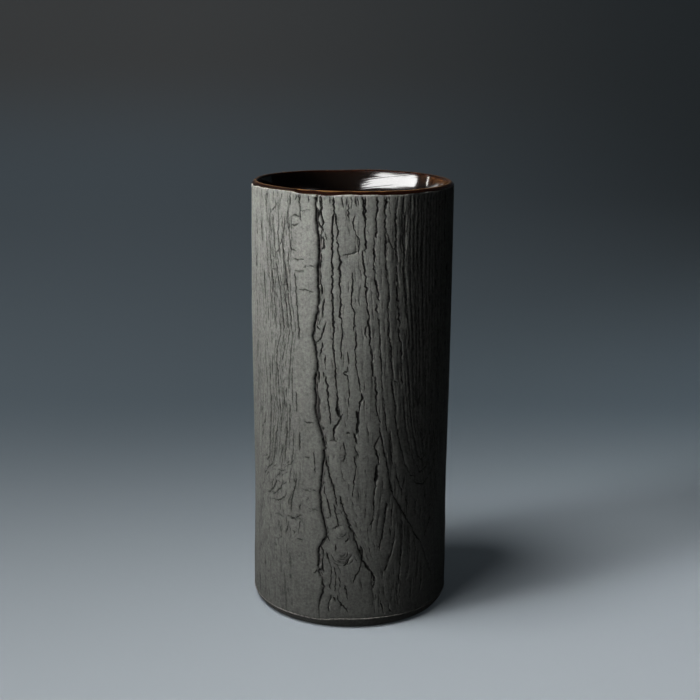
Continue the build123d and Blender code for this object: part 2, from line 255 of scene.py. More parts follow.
# The widest gaps, where a crack pulled a plate apart
wide_gaps = (
    ((-4, 111), (-5, 108.5), (-6, 106), (-7.7, 104.2), (-8.2, 101), (-8.1, 98)),
    ((-8.1, 98), (-10, 97.2)), ((-8.1, 98), (-6.2, 97)),
    ((1.6, 101.7), (2, 100), (2.5, 97.5), (3.5, 96.2)), ((5.2, 44), (5.9, 40), (6.1, 36.5)),
    ((6.1, 36.5), (7.2, 34.9), (8.8, 32.6), (10.8, 30), (11.1, 26.3)),
    ((2.7, 112.5), (3.7, 108.8), (3, 105), (2.7, 100.8)), ((-6.7, 117), (-6.5, 113.2), (-5.4, 109.6)),
    ((12.9, 85), (12.3, 80.5), (12.5, 76)),
)

# The net of short fine cracks low on the left
net_cracks = (
    ((-36.3, 78.3), (-37.9, 76.8), (-40.9, 74.1)),
    ((-29, 70), (-30.9, 66.8), (-32.5, 63.6), (-32.3, 60.6)),
    ((-46.3, 60.4), (-43.4, 61.6), (-41.3, 61.2), (-42.7, 60)),
    ((-42.5, 53.6), (-39.6, 54.9), (-36.8, 53.9), (-34.3, 55.1)),
    ((-34.1, 54.3), (-34.1, 51), (-35, 47.5)), ((-28.1, 55.2), (-25.9, 55.5), (-24.4, 55.1)),
    ((-29, 55.1), (-31.2, 55.5), (-33.3, 55.6)), ((-51.4, 72.5), (-48.3, 76.5), (-42.8, 80.9)),
    ((-37.2, 80.8), (-34.3, 82), (-31.2, 84.6)), ((-46.3, 68.3), (-43.7, 71), (-42.5, 73.1)),
    ((-39.6, 43.7), (-37.2, 43), (-39.6, 41.4), (-42.5, 41.7)), ((-28.6, 44.6), (-22.5, 45)),
    ((-21.7, 67.9), (-20.8, 66.9), (-22.1, 65.6)), ((-24.6, 71.3), (-21.7, 70.9), (-18.8, 70.7)),
    ((-44.3, 76.5), (-40.7, 77.9), (-37.2, 77.8), (-34.3, 79)),
    ((-54.8, 80.3), (-51.4, 82.2), (-47.2, 83.4)), ((-33.3, 66.4), (-35.1, 64.7), (-37.2, 63.7)),
    ((-39, 68.5), (-37.2, 70.5), (-35.8, 72.9)), ((-20.8, 62), (-18.4, 61.1), (-16.1, 61.1)),
    ((-49.8, 64.9), (-46.3, 64.2), (-42.5, 65.3)), ((-40.5, 72.4), (-38.4, 71.6), (-38.9, 70)),
    ((-27.2, 73.3), (-29, 74.5), (-28.4, 76.5)), ((-51.4, 69.1), (-53.9, 66.3), (-53, 64.6)),
    ((-30.4, 48.9), (-29, 47.6), (-29.7, 45.6)), ((-37.4, 49.3), (-39, 47.2), (-38.2, 45.8)),
    ((-46.9, 53.5), (-45.6, 51.6), (-46.7, 49.1)), ((-24.6, 63.9), (-25.9, 61.5), (-25.2, 59.7)),
)

# Long cracks on the sides and the back, as degrees round and shares of the height, from the top down
back_cracks = (
    ((77, 0.94), (80, 0.79), (76, 0.6), (81, 0.44), (78, 0.29)),
    ((92, 0.97), (90, 0.85), (94, 0.69), (91, 0.55)), ((94, 0.48), (97, 0.36), (94, 0.23), (98, 0.12)),
    ((107, 0.95), (108, 0.79), (105, 0.64), (108, 0.5), (104, 0.35), (106, 0.21)),
    ((120, 0.91), (118, 0.76), (122, 0.62), (120, 0.47)), ((122, 0.4), (120, 0.27), (123, 0.14)),
    ((136, 0.96), (137, 0.78), (140, 0.6), (146, 0.43)), ((130, 0.67), (135, 0.39), (145, 0.25)),
    ((165, 0.95), (163, 0.77), (160, 0.59), (154, 0.43)), ((171, 0.67), (165, 0.4), (156, 0.25)),
    ((179, 0.96), (177, 0.81), (181, 0.65), (178, 0.48), (182, 0.32), (180, 0.17)),
    ((193, 0.94), (195, 0.79), (192, 0.65), (196, 0.52)), ((197, 0.45), (194, 0.3), (197, 0.15)),
    ((208, 0.96), (206, 0.83), (210, 0.67), (208, 0.5), (211, 0.34), (209, 0.19)),
    ((223, 0.93), (224, 0.77), (221, 0.62), (224, 0.47)), ((226, 0.4), (223, 0.27), (226, 0.13)),
    ((238, 0.96), (236, 0.81), (240, 0.64), (236, 0.47), (239, 0.31)),
)

# The net of cracks beside the seam
seam_cracks = (
    ((6.1, 36.5), (5.5, 34), (4.7, 30.2), (3, 28.5), (2.2, 25.5), (1.7, 24.2)),
    ((-14.7, 214.9), (-14.5, 211), (-15.1, 208.5), (-15.4, 206.5), (-16.5, 203.5)),
    ((-14.9, 214.9), (-14.8, 211.5), (-14.4, 209.5), (-14.9, 207)),
    ((-15.2, 208.5), (-14.2, 204), (-13.6, 202), (-14, 199.5), (-15, 196), (-15.9, 194)),
    ((-16.6, 203), (-15.3, 201), (-14, 199), (-13.2, 197.6)),
    ((-15.9, 194), (-15.1, 191.5), (-15.7, 190), (-15, 188), (-14.6, 184), (-15.2, 181.5), (-16, 180.2)),
    ((-15.9, 178.5), (-15.2, 175.5), (-14.5, 172.5), (-14.2, 170.5), (-14.2, 167.5)),
)

# Finer cracks between them
fine_cracks = (
    ((-13.2, 197.6), (-12.3, 196), (-11.7, 194)),
    ((-13.5, 196), (-13.6, 193), (-13.4, 190.5), (-15.2, 189.5)),
    ((-12.7, 166.7), (-13.5, 164.5), (-13.9, 160.5), (-13.5, 157.5)), ((-17, 153.5), (-15, 151.7)),
    ((-15, 156.5), (-15.5, 154)),
    ((-12.2, 155.5), (-13.2, 152.5), (-13.7, 150), (-15, 147), (-17, 145.7)),
    ((-14, 146), (-13.9, 143.5), (-15, 140), (-16, 138)), ((-16.4, 132), (-15.5, 130), (-15.5, 125.7)),
    ((-12.5, 140.5), (-12.5, 132.5)), ((-13.5, 131.5), (-13.2, 128.5)),
    ((-12, 129), (-12.2, 126), (-11.2, 124.5), (-11.6, 122), (-11, 121), (-11.2, 117.5), (-10.5, 114),
     (-10, 110), (-9.7, 105.5)),
    ((-2, 211.5), (-1.7, 207.5), (-2.1, 205.5), (-1.5, 203)), ((-0.5, 214.5), (-0.3, 212), (-0.7, 209)),
    ((-2, 141.5), (-1.2, 135.5)),
    ((-2, 134.5), (-2, 132), (-3, 131.2), (-1.5, 130.2), (-1.2, 126), (-0.7, 121), (-1.2, 118),
     (-1, 114.5)),
    ((-2.5, 101.7), (0.7, 101.7)), ((-3.5, 97), (-2.5, 94), (-2.2, 91), (-3.5, 87)),
    ((1.2, 206), (0.2, 203), (1, 199), (2.2, 196.5), (3.4, 195), (3.2, 191.5), (2.9, 188.2)),
    ((0, 179.5), (0.2, 176), (0.6, 171.5), (-0.2, 168.5), (-0.2, 165), (0.5, 162.5), (1.6, 160.5),
     (1.1, 157.5), (1.1, 151.5)),
    ((2, 151), (2, 148.5), (2.5, 145), (1.7, 142.5), (2.2, 140), (2.4, 135), (2.9, 131.5), (3.5, 128),
     (4.2, 124.5), (4.4, 122)),
    ((2.2, 95.5), (2.6, 92.5), (3.5, 91), (4.2, 89)),
    ((1.7, 90), (2.5, 85.5), (2.7, 80.5), (1.5, 78), (1.9, 74), (1, 69.5)),
    ((7.5, 154), (6.5, 152.5), (6.1, 150.5), (7.5, 148)),
    ((21.7, 68.5), (24, 64.5), (26.5, 60.5), (29, 56), (31.5, 52.5), (33.5, 49.5), (35, 45.5), (38, 42),
     (40, 40), (42.5, 33), (45, 29), (46.5, 25), (50, 18)),
    ((11.7, 164.5), (11.6, 162), (12.5, 160), (12.5, 157.5), (13.2, 156.5), (13, 152), (13.6, 149),
     (13.7, 144), (14, 140), (14.5, 135), (14.7, 131.5), (14.3, 129), (15, 124), (15.7, 121.5)),
    ((15.2, 119), (16.2, 117), (16.2, 113), (17, 109), (17.2, 105), (18.2, 102)),
    ((19.7, 102), (19.9, 98), (19.4, 95), (20, 92), (20.7, 88.5), (21, 84.5)),
    ((23.5, 102), (24, 98), (24.7, 95), (26, 90.5), (27, 87), (28.2, 83.5), (29.5, 81), (31.5, 77.5),
     (34.5, 76.5)),
    ((17.2, 209.5), (18, 206)), ((16.5, 198), (17.2, 194), (19, 191), (19.5, 189)),
    ((21, 127), (23, 125)), ((13.2, 18), (13, 15)), ((21.6, 65), (20.9, 60), (20.7, 56.5), (21.2, 53)),
    ((20.2, 52), (21, 48)),
    ((26.7, 57), (27.2, 51), (27.2, 45), (26.7, 37.5), (26.2, 31), (25.5, 26), (25.7, 23)),
    ((24.5, 23), (24.5, 15), (25.5, 10)),
    ((31.5, 50), (31.5, 42.5), (31.7, 37.5), (31.5, 31), (30.7, 26), (29.5, 22.5)),
    ((34.5, 47), (35.2, 41), (35.2, 31)), ((22.5, 83.5), (23, 80), (24.5, 75.5), (26.5, 71), (27.2, 67)),
    ((28.7, 67.5), (30, 63), (30, 60)), ((37.5, 65.5), (35.2, 62.5), (35, 60), (35.5, 55)),
    ((15.5, 15), (16, 12.5), (17, 10.5), (17.5, 6.5)), ((20, 12.5), (20, 9.5), (22, 7)),
    ((-13.2, 75), (-12.5, 71.5), (-11.7, 67.5), (-10.7, 64), (-9.5, 60.5), (-9.7, 58.5), (-11.7, 57.5)),
    ((-8, 65), (-7.2, 61), (-6.2, 57.5), (-6, 54.5), (-7, 53), (-8.7, 52.7)), ((-7, 60), (-3.5, 61.5)),
    ((-11.6, 49), (-10.5, 47), (-9.7, 46)), ((-7.1, 45.5), (-7, 43), (-7.7, 41)),
    ((-0.2, 49), (-1.2, 47), (-2.5, 45.5)), ((-0.2, 37), (-1.2, 35), (-3, 33.5)),
    ((-14.7, 43), (-13.5, 41.5), (-13, 38.5), (-13.5, 35), (-13.1, 29)), ((-15.5, 31), (-17.5, 28.5)),
    ((-11.7, 40.5), (-10.7, 37.5), (-9.2, 33.5), (-9, 30.5), (-9.2, 26), (-9.6, 21)),
    ((-7.7, 32.5), (-7, 30), (-6.7, 25), (-7, 19.5)), ((-5.5, 28), (-4.7, 25), (-4.7, 21)),
    ((-2, 23.5), (-1.5, 20.5), (-0.7, 15.5)), ((-8.5, 18), (-9.7, 14), (-10.5, 10.5), (-9.7, 8.7)),
    ((-8.5, 18), (-6.7, 14.5)), ((-6.2, 18), (-5, 14.5), (-3, 12), (-0.5, 9)),
    ((-21.5, 181.6), (-19, 181.7), (-16.5, 181.2)), ((-26, 170), (-23, 170.5), (-20, 170), (-18, 169.5)),
    ((-26, 214.5), (-25.5, 210.5), (-25.1, 207), (-25, 202.5)), ((-32.2, 55), (-27.5, 54.6)),
    ((-28.5, 55.7), (-26, 56.5), (-25, 57.7)), ((-49.6, 105), (-50.5, 101), (-52.5, 98), (-54.5, 96.2)),
    ((-47, 75.7), (-48.5, 73.2), (-51, 71)),
    ((-40.7, 72.2), (-42.2, 70), (-44, 67), (-46, 65.2), (-49, 63.5)),
)

# Shallow lines of grain on the left of the seam
faint_lines = (
    ((-23.7, 105.7), (-20.5, 105.5), (-17.5, 106.1)), ((-4.5, 187.2), (-1.5, 188), (2.5, 189)),
    ((-24.7, 207), (-20, 208)), ((-30.5, 204.2), (-28, 205), (-25, 204.5)),
    ((-31.5, 203.5), (-31.7, 198.5), (-31.2, 193.5), (-30.7, 188.5), (-27, 188.2)),
    ((-30.2, 200), (-27.7, 200.2), (-25.7, 201.5)), ((-29, 184.2), (-22, 184.5)),
    ((-23.5, 180.5), (-21.5, 181.6)), ((-28.2, 178.7), (-25, 178.5), (-23, 179.2)),
    ((-23.5, 87.5), (-19.5, 88)), ((-21.5, 72.2), (-18, 71.6), (-16, 71.7)), ((-19, 62), (-15.5, 61.5)),
    ((-28.2, 178), (-27.7, 172.5), (-27.2, 167), (-26.7, 160), (-26, 153.5), (-25.5, 145.5)),
    ((-27.7, 120), (-27.5, 115), (-27.2, 109.5)), ((-25.7, 100), (-25.5, 90)),
    ((-35.7, 205), (-38.5, 200), (-39, 195), (-38, 191)),
    ((-34, 202.5), (-34.5, 198), (-36, 193.5), (-37.5, 190), (-38.5, 187), (-40.5, 186.2)),
    ((-42.5, 204), (-41.9, 198.5), (-41.2, 192.5), (-40.7, 187), (-40.2, 181), (-39.2, 176),
     (-38.2, 171.5), (-37.5, 167), (-36.9, 162.5), (-36.2, 159), (-35.5, 153), (-35, 148)),
    ((-35.2, 189.5), (-34, 180.5), (-33, 172), (-32.4, 167), (-31.5, 162), (-30.7, 156.5),
     (-30.2, 149.5)),
    ((-35, 171.5), (-34.2, 165.5), (-33.2, 160.5), (-32.5, 155), (-31.5, 150)),
    ((-45.7, 202.5), (-45, 192.5), (-44.2, 182.5), (-43.2, 175), (-42, 167.5), (-41.2, 161),
     (-40.5, 153.5)),
    ((-48.5, 200), (-47.2, 190), (-46.5, 180), (-45.2, 171), (-44.2, 165), (-43, 153)),
    ((-38.5, 210.5), (-40.5, 208), (-43, 205.5), (-45, 204.2)), ((-43.5, 177.7), (-40.7, 178)),
    ((-37, 171), (-33, 171.5)),
    ((-40, 133), (-39.2, 127), (-38.7, 123), (-38.5, 118), (-38, 113), (-37.7, 107.5)),
    ((-46.5, 136.5), (-46.2, 130), (-45.7, 124), (-45.2, 118), (-44.7, 112), (-45.2, 98), (-46, 90),
     (-46.7, 82.5), (-49.5, 80.5)),
    ((-39.5, 100.5), (-40.7, 97), (-41.2, 92.5), (-42, 87.5), (-43, 82.5)),
    ((-32.7, 104.5), (-33.5, 103), (-33, 99.5), (-33.7, 94), (-34.5, 89), (-34.9, 83)),
    ((-36.5, 91), (-37.5, 86), (-38.5, 82)), ((-18, 91), (-17.7, 86), (-17.2, 80.5)),
    ((-29.2, 85.5), (-31.5, 82.5), (-35, 80.2)), ((-41, 80.5), (-43, 78.5), (-45, 77.2)),
    ((-33, 78.5), (-35.5, 76.2), (-38, 75.2)),
    ((-33.5, 73), (-36.5, 70.7), (-39, 67.5), (-42, 65.2), (-44.7, 63.5)),
    ((-33.5, 67.5), (-35.5, 64.5), (-38.5, 62.2), (-41.5, 61.5)),
    ((-27.5, 76.5), (-28.5, 71.5), (-30, 66.5), (-31, 62.5), (-31, 58)),
    ((-32.5, 53), (-33.4, 49), (-34.2, 45.5)), ((-25.5, 54.5), (-26.2, 50.5), (-26.8, 47.2)),
    ((-39.2, 51.5), (-39.2, 47.5)),
)

# Grooves between the ridges on the right, which close into an arch low down
ridge_grooves = (
    ((24.5, 214.5), (24, 205), (24.5, 197.5), (24.2, 190)),
    ((25.6, 207.5), (25.2, 195), (25.2, 187.5), (25.5, 180), (26, 172.5), (26.7, 167.5), (27.5, 160),
     (28.2, 155), (29, 148.5), (29.2, 141)),
    ((28.5, 214.5), (28.2, 205), (28.4, 197.5), (28.7, 182.5), (29.2, 172.5), (29.5, 165), (30, 160),
     (30.7, 154), (31.2, 147.5), (31.6, 135), (32.3, 122), (33.3, 111)),
    ((30.7, 214.5), (30.6, 195), (31, 185), (31.5, 175), (32.5, 165), (33, 155), (33.5, 146), (34, 133),
     (34.6, 120), (35.3, 110)),
    ((33.2, 214), (33, 196), (33.4, 181), (34, 166), (35, 152), (35.6, 138), (36.3, 124), (37, 112)),
    ((35, 214.5), (35.2, 195), (35.6, 180), (36, 172)),
    ((36.5, 214.5), (36.5, 187.5), (36.5, 176), (37, 170), (37.5, 155), (38.2, 147.5), (38.6, 132)),
    ((38.8, 214.5), (38.9, 192), (39.3, 170), (40, 150), (40.3, 128), (40.6, 110)),
    ((41, 213), (41.4, 190), (41.5, 168), (42.2, 142), (42.4, 120)),
    ((43.3, 214.5), (43.6, 186), (44.1, 160), (44.6, 132), (44.3, 108)),
    ((45.9, 213), (46, 190), (46.8, 162), (47, 135)),
    ((48.4, 214.5), (48.8, 180), (49.2, 150), (49.6, 118)),
    ((51, 212), (51.2, 190), (52, 158), (52.4, 130), (51.5, 104)), ((54, 214.5), (54.4, 178), (55, 140)),
    ((57.2, 213), (57.8, 185), (58.2, 150), (58.8, 120)), ((60.8, 214.5), (61, 190), (61.8, 160)),
    ((27.5, 140), (28.5, 132.5), (29.5, 125), (30, 117.5), (30.5, 112.5), (31.2, 105), (32.5, 98.5),
     (34, 95), (35, 90), (36.2, 86), (38.5, 84), (41, 85.5), (43, 90), (44.6, 97), (45.6, 108),
     (46.4, 124)),
    ((35, 107.5), (36.5, 100), (38, 96), (39.5, 93.5), (41, 95.5), (42.3, 101)),
    ((35.5, 82), (37.5, 77.5), (39.3, 78), (42.5, 79.5), (45.5, 84), (47.6, 91), (49, 101)),
    ((26.2, 118), (27.2, 109), (28.5, 101), (30, 94.5), (31.8, 88.5), (34, 84), (36.4, 80.2)),
    ((33, 74.5), (36, 72), (40, 71), (44.5, 73), (48.5, 78), (51, 86), (52.6, 96)),
    ((39, 60), (38.5, 54), (39, 49)), ((42.5, 68), (41.5, 62), (41.8, 55)),
    ((51, 70), (51.5, 60), (50, 50)), ((37.5, 36), (37.2, 28), (36, 20)),
    ((40.5, 31), (40, 22), (38.8, 14)), ((33.8, 26), (33, 18), (32.6, 12)),
)

# Cracks whose right-hand plate rises softly: each line, how low the plate starts there, and its way up
soft_shoulders = (
    (((-12, 96), (-8.5, 74.5), (-5.2, 69.5), (-1, 57), (2.7, 47), (6.1, 36.5), (9, 27)), 0.45, 3.2),
    (((20, 100), (20.4, 72.5), (26.5, 60.5), (33.5, 49.5), (40, 40), (45, 29), (50, 18)), 0.4, 3),
    (((1.5, 108), (2.2, 98), (3.2, 88), (4.6, 76), (6.5, 62)), 0.25, 2.6),
)

# Knots that the grain bends round: (around, up, reach of their rings)
knots = ((-4.2, 51.5, 4.6), (-3.6, 40.5, 7.4), (-5, 92, 3.6), (131, 64, 8))

# Soft rises: (around, up, reach round, reach up, height), such as knots and the pale tongue of grain
soft_rises = (
    (-6, 91, 3.2, 6, 0.45), (-4.4, 51, 3.2, 3.2, 0.6), (-4.2, 39.5, 4, 4.4, 0.6),
    (6.5, 72, 4.5, 16, 0.22), (8, 50, 4, 14, 0.22), (1, 168, 3, 9, 0.12), (-22, 150, 4, 30, 0.12),
    (-19.5, 98, 3, 12, 0.2), (14, 60, 3, 12, 0.12), (2, 22, 6, 6, 0.15), (28, 92, 2.5, 14, -0.15),
    (85, 120, 8, 20, 0.15), (131, 64, 5, 9, 0.35), (176, 150, 5, 14, 0.25), (170, 40, 7, 10, 0.2),
)

# The studio, in metres
half_width = 4.0
floor_front = -3.0
bend_start = 1.6  # where the floor starts to curve up into the backdrop
bend_radius = 1.0
backdrop_top = 3.6
dark_from, pale_from = 0.38, -0.28  # the floor fades from dark, this far back, to pale
high_from = 0.25  # height at which the backdrop has all of its upper glow
glow_falls = (-0.5, 0.9)  # where, from left to right, the glow starts to fall and has fallen
world_colour = (0.9, 0.95, 1.0, 1)
world_strength = 0.004
camera_lens, camera_sensor = 65.35, 36.0  # in mm
camera_place = (-0.000735, -0.62883, 0.28587)
camera_pitch, camera_roll = 0.2428, 0.0086
lamps = (
    # name, place, aim, roll, width, height, watts, spread, lights the clay, shows in the glaze
    ("key", (-0.95, -0.52, 0.7), (0.05, 0.0, 0.475), 0, 0.65, 0.56, 5.2, 32.5, True, False),
    ("top", (-0.45, -0.28, 1.45), (0.12, -0.3, 0.0), 0, 0.65, 0.65, 6.1, 110, True, False),
    ("card", (-0.72, -0.695, 0.33), (0.0, 0.0, 0.21), -10, 1.9, 0.48, 34.0, 180, False, True),
    ("strip", (-0.93, 0.36, 0.38), (0.0, 0.0, 0.21), 0, 0.016, 0.3, 0.5, 180, False, True),
)


def held(value):
    """A value held between 0 and 1."""
    return np.clip(value, 0, 1)


def bell(value, middle, reach, power=2):
    """A hill of height 1 about a middle: e to the power of -(distance / reach)^power."""
    return np.exp(-(((value - middle) / reach) ** power))


def how_far_round(x, y):
    """How far round the wall from -Y a point lies: the radius times its angle, positive towards +X."""
    return rim_radius * np.arctan2(x, -y)


def way_round(around, middle=0.0):
    """How far round places lie from a middle, by the shorter way."""
    return (around - middle + girth / 2) % girth - girth / 2


def place(around, up, radius):
    """Points at a distance round, a height and a radius: (r sin a, -r cos a, up), with a the turn."""
    turn = np.asarray(around) / rim_radius
    return np.stack(np.broadcast_arrays(radius * np.sin(turn), -radius * np.cos(turn), up), -1)


def evenly_round(columns):
    """The distance round of each of so many columns, evenly apart."""
    return np.linspace(0, girth, columns, endpoint=False)


def round_the_vase(around, places, values):
    """Value at a distance round, from values at a few places: cosine steps from each to the next."""
    places = np.asarray(places, float)
    values = np.asarray(values, float)
    order = np.argsort(places % girth)
    at, value = (places % girth)[order], values[order]
    at = np.concatenate((at[-1:] - girth, at, at[:1] + girth))
    value = np.concatenate((value[-1:], value, value[:1]))
    around = np.asarray(around) % girth
    before = np.clip(np.searchsorted(at, around, side="right") - 1, 0, len(at) - 2)
    share = (around - at[before]) / (at[before + 1] - at[before])
    share = (1 - np.cos(pi * share)) / 2
    return value[before] * (1 - share) + value[before + 1] * share


def lip_edge(around):
    """Height of the clay's edge at the foot of the bevel."""
    return round_the_vase(around, lip_edge_places, lip_edge_heights)


def crest_dip(around):
    """How far the lip dips below its highest place."""
    return round_the_vase(around, crest_dip_places, crest_dips)


def foot_edge(around):
    """Height of the crisp edge where the wall meets the foot."""
    return round_the_vase(around, foot_edge_places, foot_edge_heights)


def swell_at(up):
    """The wall's swell at a height, on cosine steps between the given heights."""
    before = np.clip(np.searchsorted(swell_heights, up, side="right") - 1, 0, len(swells) - 2)
    low, high = np.take(swell_heights, before), np.take(swell_heights, before + 1)
    share = (1 - np.cos(pi * held((up - low) / (high - low)))) / 2
    return np.take(swells, before) * (1 - share) + np.take(swells, before + 1) * share


def line_at(line, up):
    """Where a line that runs down the wall lies at a height, straight from point to point."""
    points = np.array(sorted(line, key=lambda point: point[1]), float)
    return np.interp(up, points[:, 1], points[:, 0])


def runs_along(points):
    """How far along a line each of its points lies."""
    return np.concatenate(([0.0], np.cumsum(np.hypot(*np.diff(points, axis=0).T))))


def wandering(rng, up, step, middle, spread):
    """Random values about a middle, drawn every step up the wall, straight between them."""
    drawn_at = np.arange(0, 225, step)
    return np.interp(up, drawn_at, rng.normal(middle, spread, len(drawn_at)))


def random_waves(rng, around, spread, orders):
    """Cosine waves round the vase, one of each order, with random heights of this spread."""
    turn = around / rim_radius
    return sum(rng.normal(0, spread) * np.cos(turn * order + rng.uniform(0, 6)) for order in orders)


def guides_at(up):
    """Where each grain guide lies at each height, guides first."""
    return np.stack([np.interp(up, *np.array(guide, float).T) for _, guide in grain_guides])


def grain_start(around, up):
    """Where the grain line through each place starts at the lip, straight between the guides beside it."""
    around = np.asarray(around, float)
    lines = guides_at(up)
    around = lines[0] + (around - lines[0]) % girth
    start = np.full(around.shape, float(grain_guides[0][0]))
    for (first, _), (second, _), low, high in zip(grain_guides, grain_guides[1:], lines, lines[1:]):
        inside = (around >= low) & (around < high)
        share = (around - low) / np.maximum(high - low, 0.01)
        start = np.where(inside, first + (second - first) * share, start)
    return start


def along_grain(start, up):
    """Where a grain line that starts at a distance round the lip lies at each height."""
    starts = [first for first, _ in grain_guides]
    lines = guides_at(up)
    after = int(np.clip(np.searchsorted(starts, start), 1, len(starts) - 1))
    share = (start - starts[after - 1]) / (starts[after] - starts[after - 1])
    return lines[after - 1] * (1 - share) + lines[after] * share


def blurred(field, across, along):
    """A field spread by a bell curve of these widths round and up, as a product in its spectrum."""
    rows, columns = field.shape
    up_waves = np.fft.fftfreq(rows, up_cell)[:, None]
    round_waves = np.fft.rfftfreq(columns, round_cell)[None]
    keep = np.exp(-2 * pi**2 * ((round_waves * across) ** 2 + (up_waves * along) ** 2))
    return np.fft.irfft2(np.fft.rfft2(field) * keep, s=field.shape)


def soft_noise(rng, across, along):
    """Random hills of these widths round and up, with a spread of 1 about 0."""
    field = blurred(rng.standard_normal((up_cells, round_cells)), across, along)
    return (field - field.mean()) / field.std()


def looked_up(field, around, up):
    """A field's values at places, weighed from the four cells about each. It goes on round the vase."""
    column = np.asarray(around) % girth / round_cell
    row = np.clip(np.asarray(up) / up_cell, 0, up_cells - 1.001)
    left, low = np.floor(column).astype(int), np.floor(row).astype(int)
    across, rise = column - left, row - low
    left, right = left % round_cells, (left + 1) % round_cells
    below = field[low, left] * (1 - across) + field[low, right] * across
    above = field[low + 1, left] * (1 - across) + field[low + 1, right] * across
    return below * (1 - rise) + above * rise


def cut(field, rng, lines, width, depth, jag):
    """Cuts grooves along lines into a field of depths.

    Each line is walked in small steps. Its middle strays sideways by jag, and its width and depth come and
    go along it and fade at its ends. Near each step the field becomes the deeper of what it was and
    depth * (1 - (distance / half width)^4).
    """
    step, stray_gap, open_gap = 0.13, 0.95, 2.6
    open_spread, open_range, deep_range = 0.38, (0.45, 1.8), (0.6, 1.25)
    fade, blunt_end = 2.5, 0.25
    for line in lines:
        points = np.array(line, float)
        runs = runs_along(points)
        length = runs[-1]
        at = np.arange(0, length, step)
        bends = np.linspace(0, length, int(length / stray_gap) + 3)
        stray = np.interp(at, bends, rng.normal(0, jag, len(bends)))
        slow = np.linspace(0, length, int(length / open_gap) + 3)
        open_share = np.clip(np.interp(at, slow, rng.normal(1, open_spread, len(slow))), *open_range)
        end_share = held(np.minimum(at, length - at) / fade + blunt_end)
        around = np.interp(at, runs, points[:, 0])
        up = np.interp(at, runs, points[:, 1])
        slope = np.stack((np.gradient(around), np.gradient(up)))
        slope /= np.maximum(np.hypot(*slope), 1e-6)
        around, up = around + slope[1] * stray, up - slope[0] * stray
        half = width / 2 * open_share * np.sqrt(end_share)
        deep = depth * np.clip(open_share, *deep_range) * end_share
        reach_round = int(half.max() / round_cell) + 1
        reach_up = int(half.max() / up_cell) + 1
        shift_up, shift_round = np.mgrid[-reach_up : reach_up + 1, -reach_round : reach_round + 1]
        column = np.rint(around / round_cell).astype(int)[:, None] + shift_round.ravel()
        row = np.rint(up / up_cell).astype(int)[:, None] + shift_up.ravel()
        away = np.hypot(column * round_cell - around[:, None], row * up_cell - up[:, None])
        value = deep[:, None] * (1 - (away / half[:, None]) ** 4)
        near = (value > 0) & (row >= 0) & (row < up_cells)
        np.maximum.at(field, (row[near], column[near] % round_cells), value[near])


def straggling(rng, first, last, gap, shortest, longest, lowest=14):
    """Cracks that follow the grain down the wall, one after another with short breaks, gap apart."""
    lines = []
    start = first
    while start < last:
        top = rng.uniform(196, 215)
        while top > lowest:
            length = min(rng.uniform(shortest, longest), top - 7)
            heights = np.linspace(top, top - length, int(length / 5) + 3)
            wander = np.cumsum(rng.normal(0, 0.28, len(heights)))
            lines.append(np.stack((along_grain(start, heights) + wander, heights), -1))
            top -= length + rng.uniform(0.5, 9)
        start += gap * rng.uniform(0.65, 1.4)
    return lines


def nested_arches(rng, centre, bottom, top, spread, gap, count):
    """Grain lines that nest in one another: heights rise from each bottom as the square of the way out."""
    lines = []
    for turn in range(count):
        low = bottom + gap * turn * rng.uniform(0.9, 1.1)
        high = min(top, low + rng.uniform(45, 95)) if turn % 3 else top
        out = spread * np.sqrt(max(high - low, 4.0)) * np.linspace(-1, 1, 26)
        wander = np.cumsum(rng.normal(0, 0.22, len(out)))
        heights = low + (out / spread) ** 2
        lines.append(np.stack((centre + out + wander + rng.uniform(-1, 1), heights), -1))
    return lines


def spurs(rng, lines, gap, reach):
    """Short side cracks that leave other cracks at random places, gap apart, to either side."""
    found = []
    for line in lines:
        points = np.array(line, float)
        runs = runs_along(points)
        for at in np.arange(rng.uniform(1, gap), runs[-1], gap):
            at += rng.uniform(-0.4, 0.4) * gap
            foot = np.array([np.interp(at, runs, points[:, axis]) for axis in (0, 1)])
            out = rng.choice((-1, 1)) * rng.uniform(0.5, 1) * reach
            tip = foot + (out, rng.uniform(-1.1, 1.1) * reach)
            found.append((foot, (foot + tip) / 2 + rng.normal(0, 0.15, 2), tip))
    return found


def lip_nicks(rng, gap=3.4, top=215):
    """Short upright cracks that the lip's edge opened in drying, all round."""
    evenly = np.arange(0, girth, gap)
    return [
        ((at, top), (at + rng.normal(0, 0.3), 213.6), (at + rng.normal(0, 0.5), top - rng.uniform(2.4, 6)))
        for at in evenly + rng.uniform(-1.5, 1.5, len(evenly))]


def knot_arcs(rng, gap=1.05, count=12):
    """Rings of grain round the knots: each an arc below its knot, drawn between two angles."""
    lines = []
    for centre, height, reach in knots:
        for radius in np.arange(1.6, reach, gap):
            first, last = rng.uniform(190, 240), rng.uniform(300, 385)
            turn = np.radians(np.linspace(first, last, count))
            swell = radius * (1 + 0.05 * np.cumsum(rng.normal(0, 0.4, count)))
            lines.append(np.stack((centre + swell * np.cos(turn), height + swell * np.sin(turn)), -1))
    return lines


def nicks(rng, first, last, count, lowest=15, highest=205, longest=6):
    """Short cracks across the grain at scattered places."""
    lines = []
    for _ in range(count):
        around, up = rng.uniform(first, last), rng.uniform(lowest, highest)
        length = rng.uniform(longest / 3, longest)
        lift = np.cumsum(rng.normal(0, 0.35, 4))
        lines.append(np.stack((around + np.linspace(0, length, 4), up + lift), -1))
    return lines


def hairline_share(around, up):
    """How much hairline grain shows: most on the sides and back, least on the plain plates by the seam."""
    turn = way_round(around)
    side = held((np.abs(turn + 2) - 22) / 6)
    plate = bell(turn, -24, 6, 4) * held((up - 90) / 20)
    return (0.35 + 0.65 * side) * (1 - 0.9 * plate) * (0.5 + 0.5 * held((up - 40) / 30))


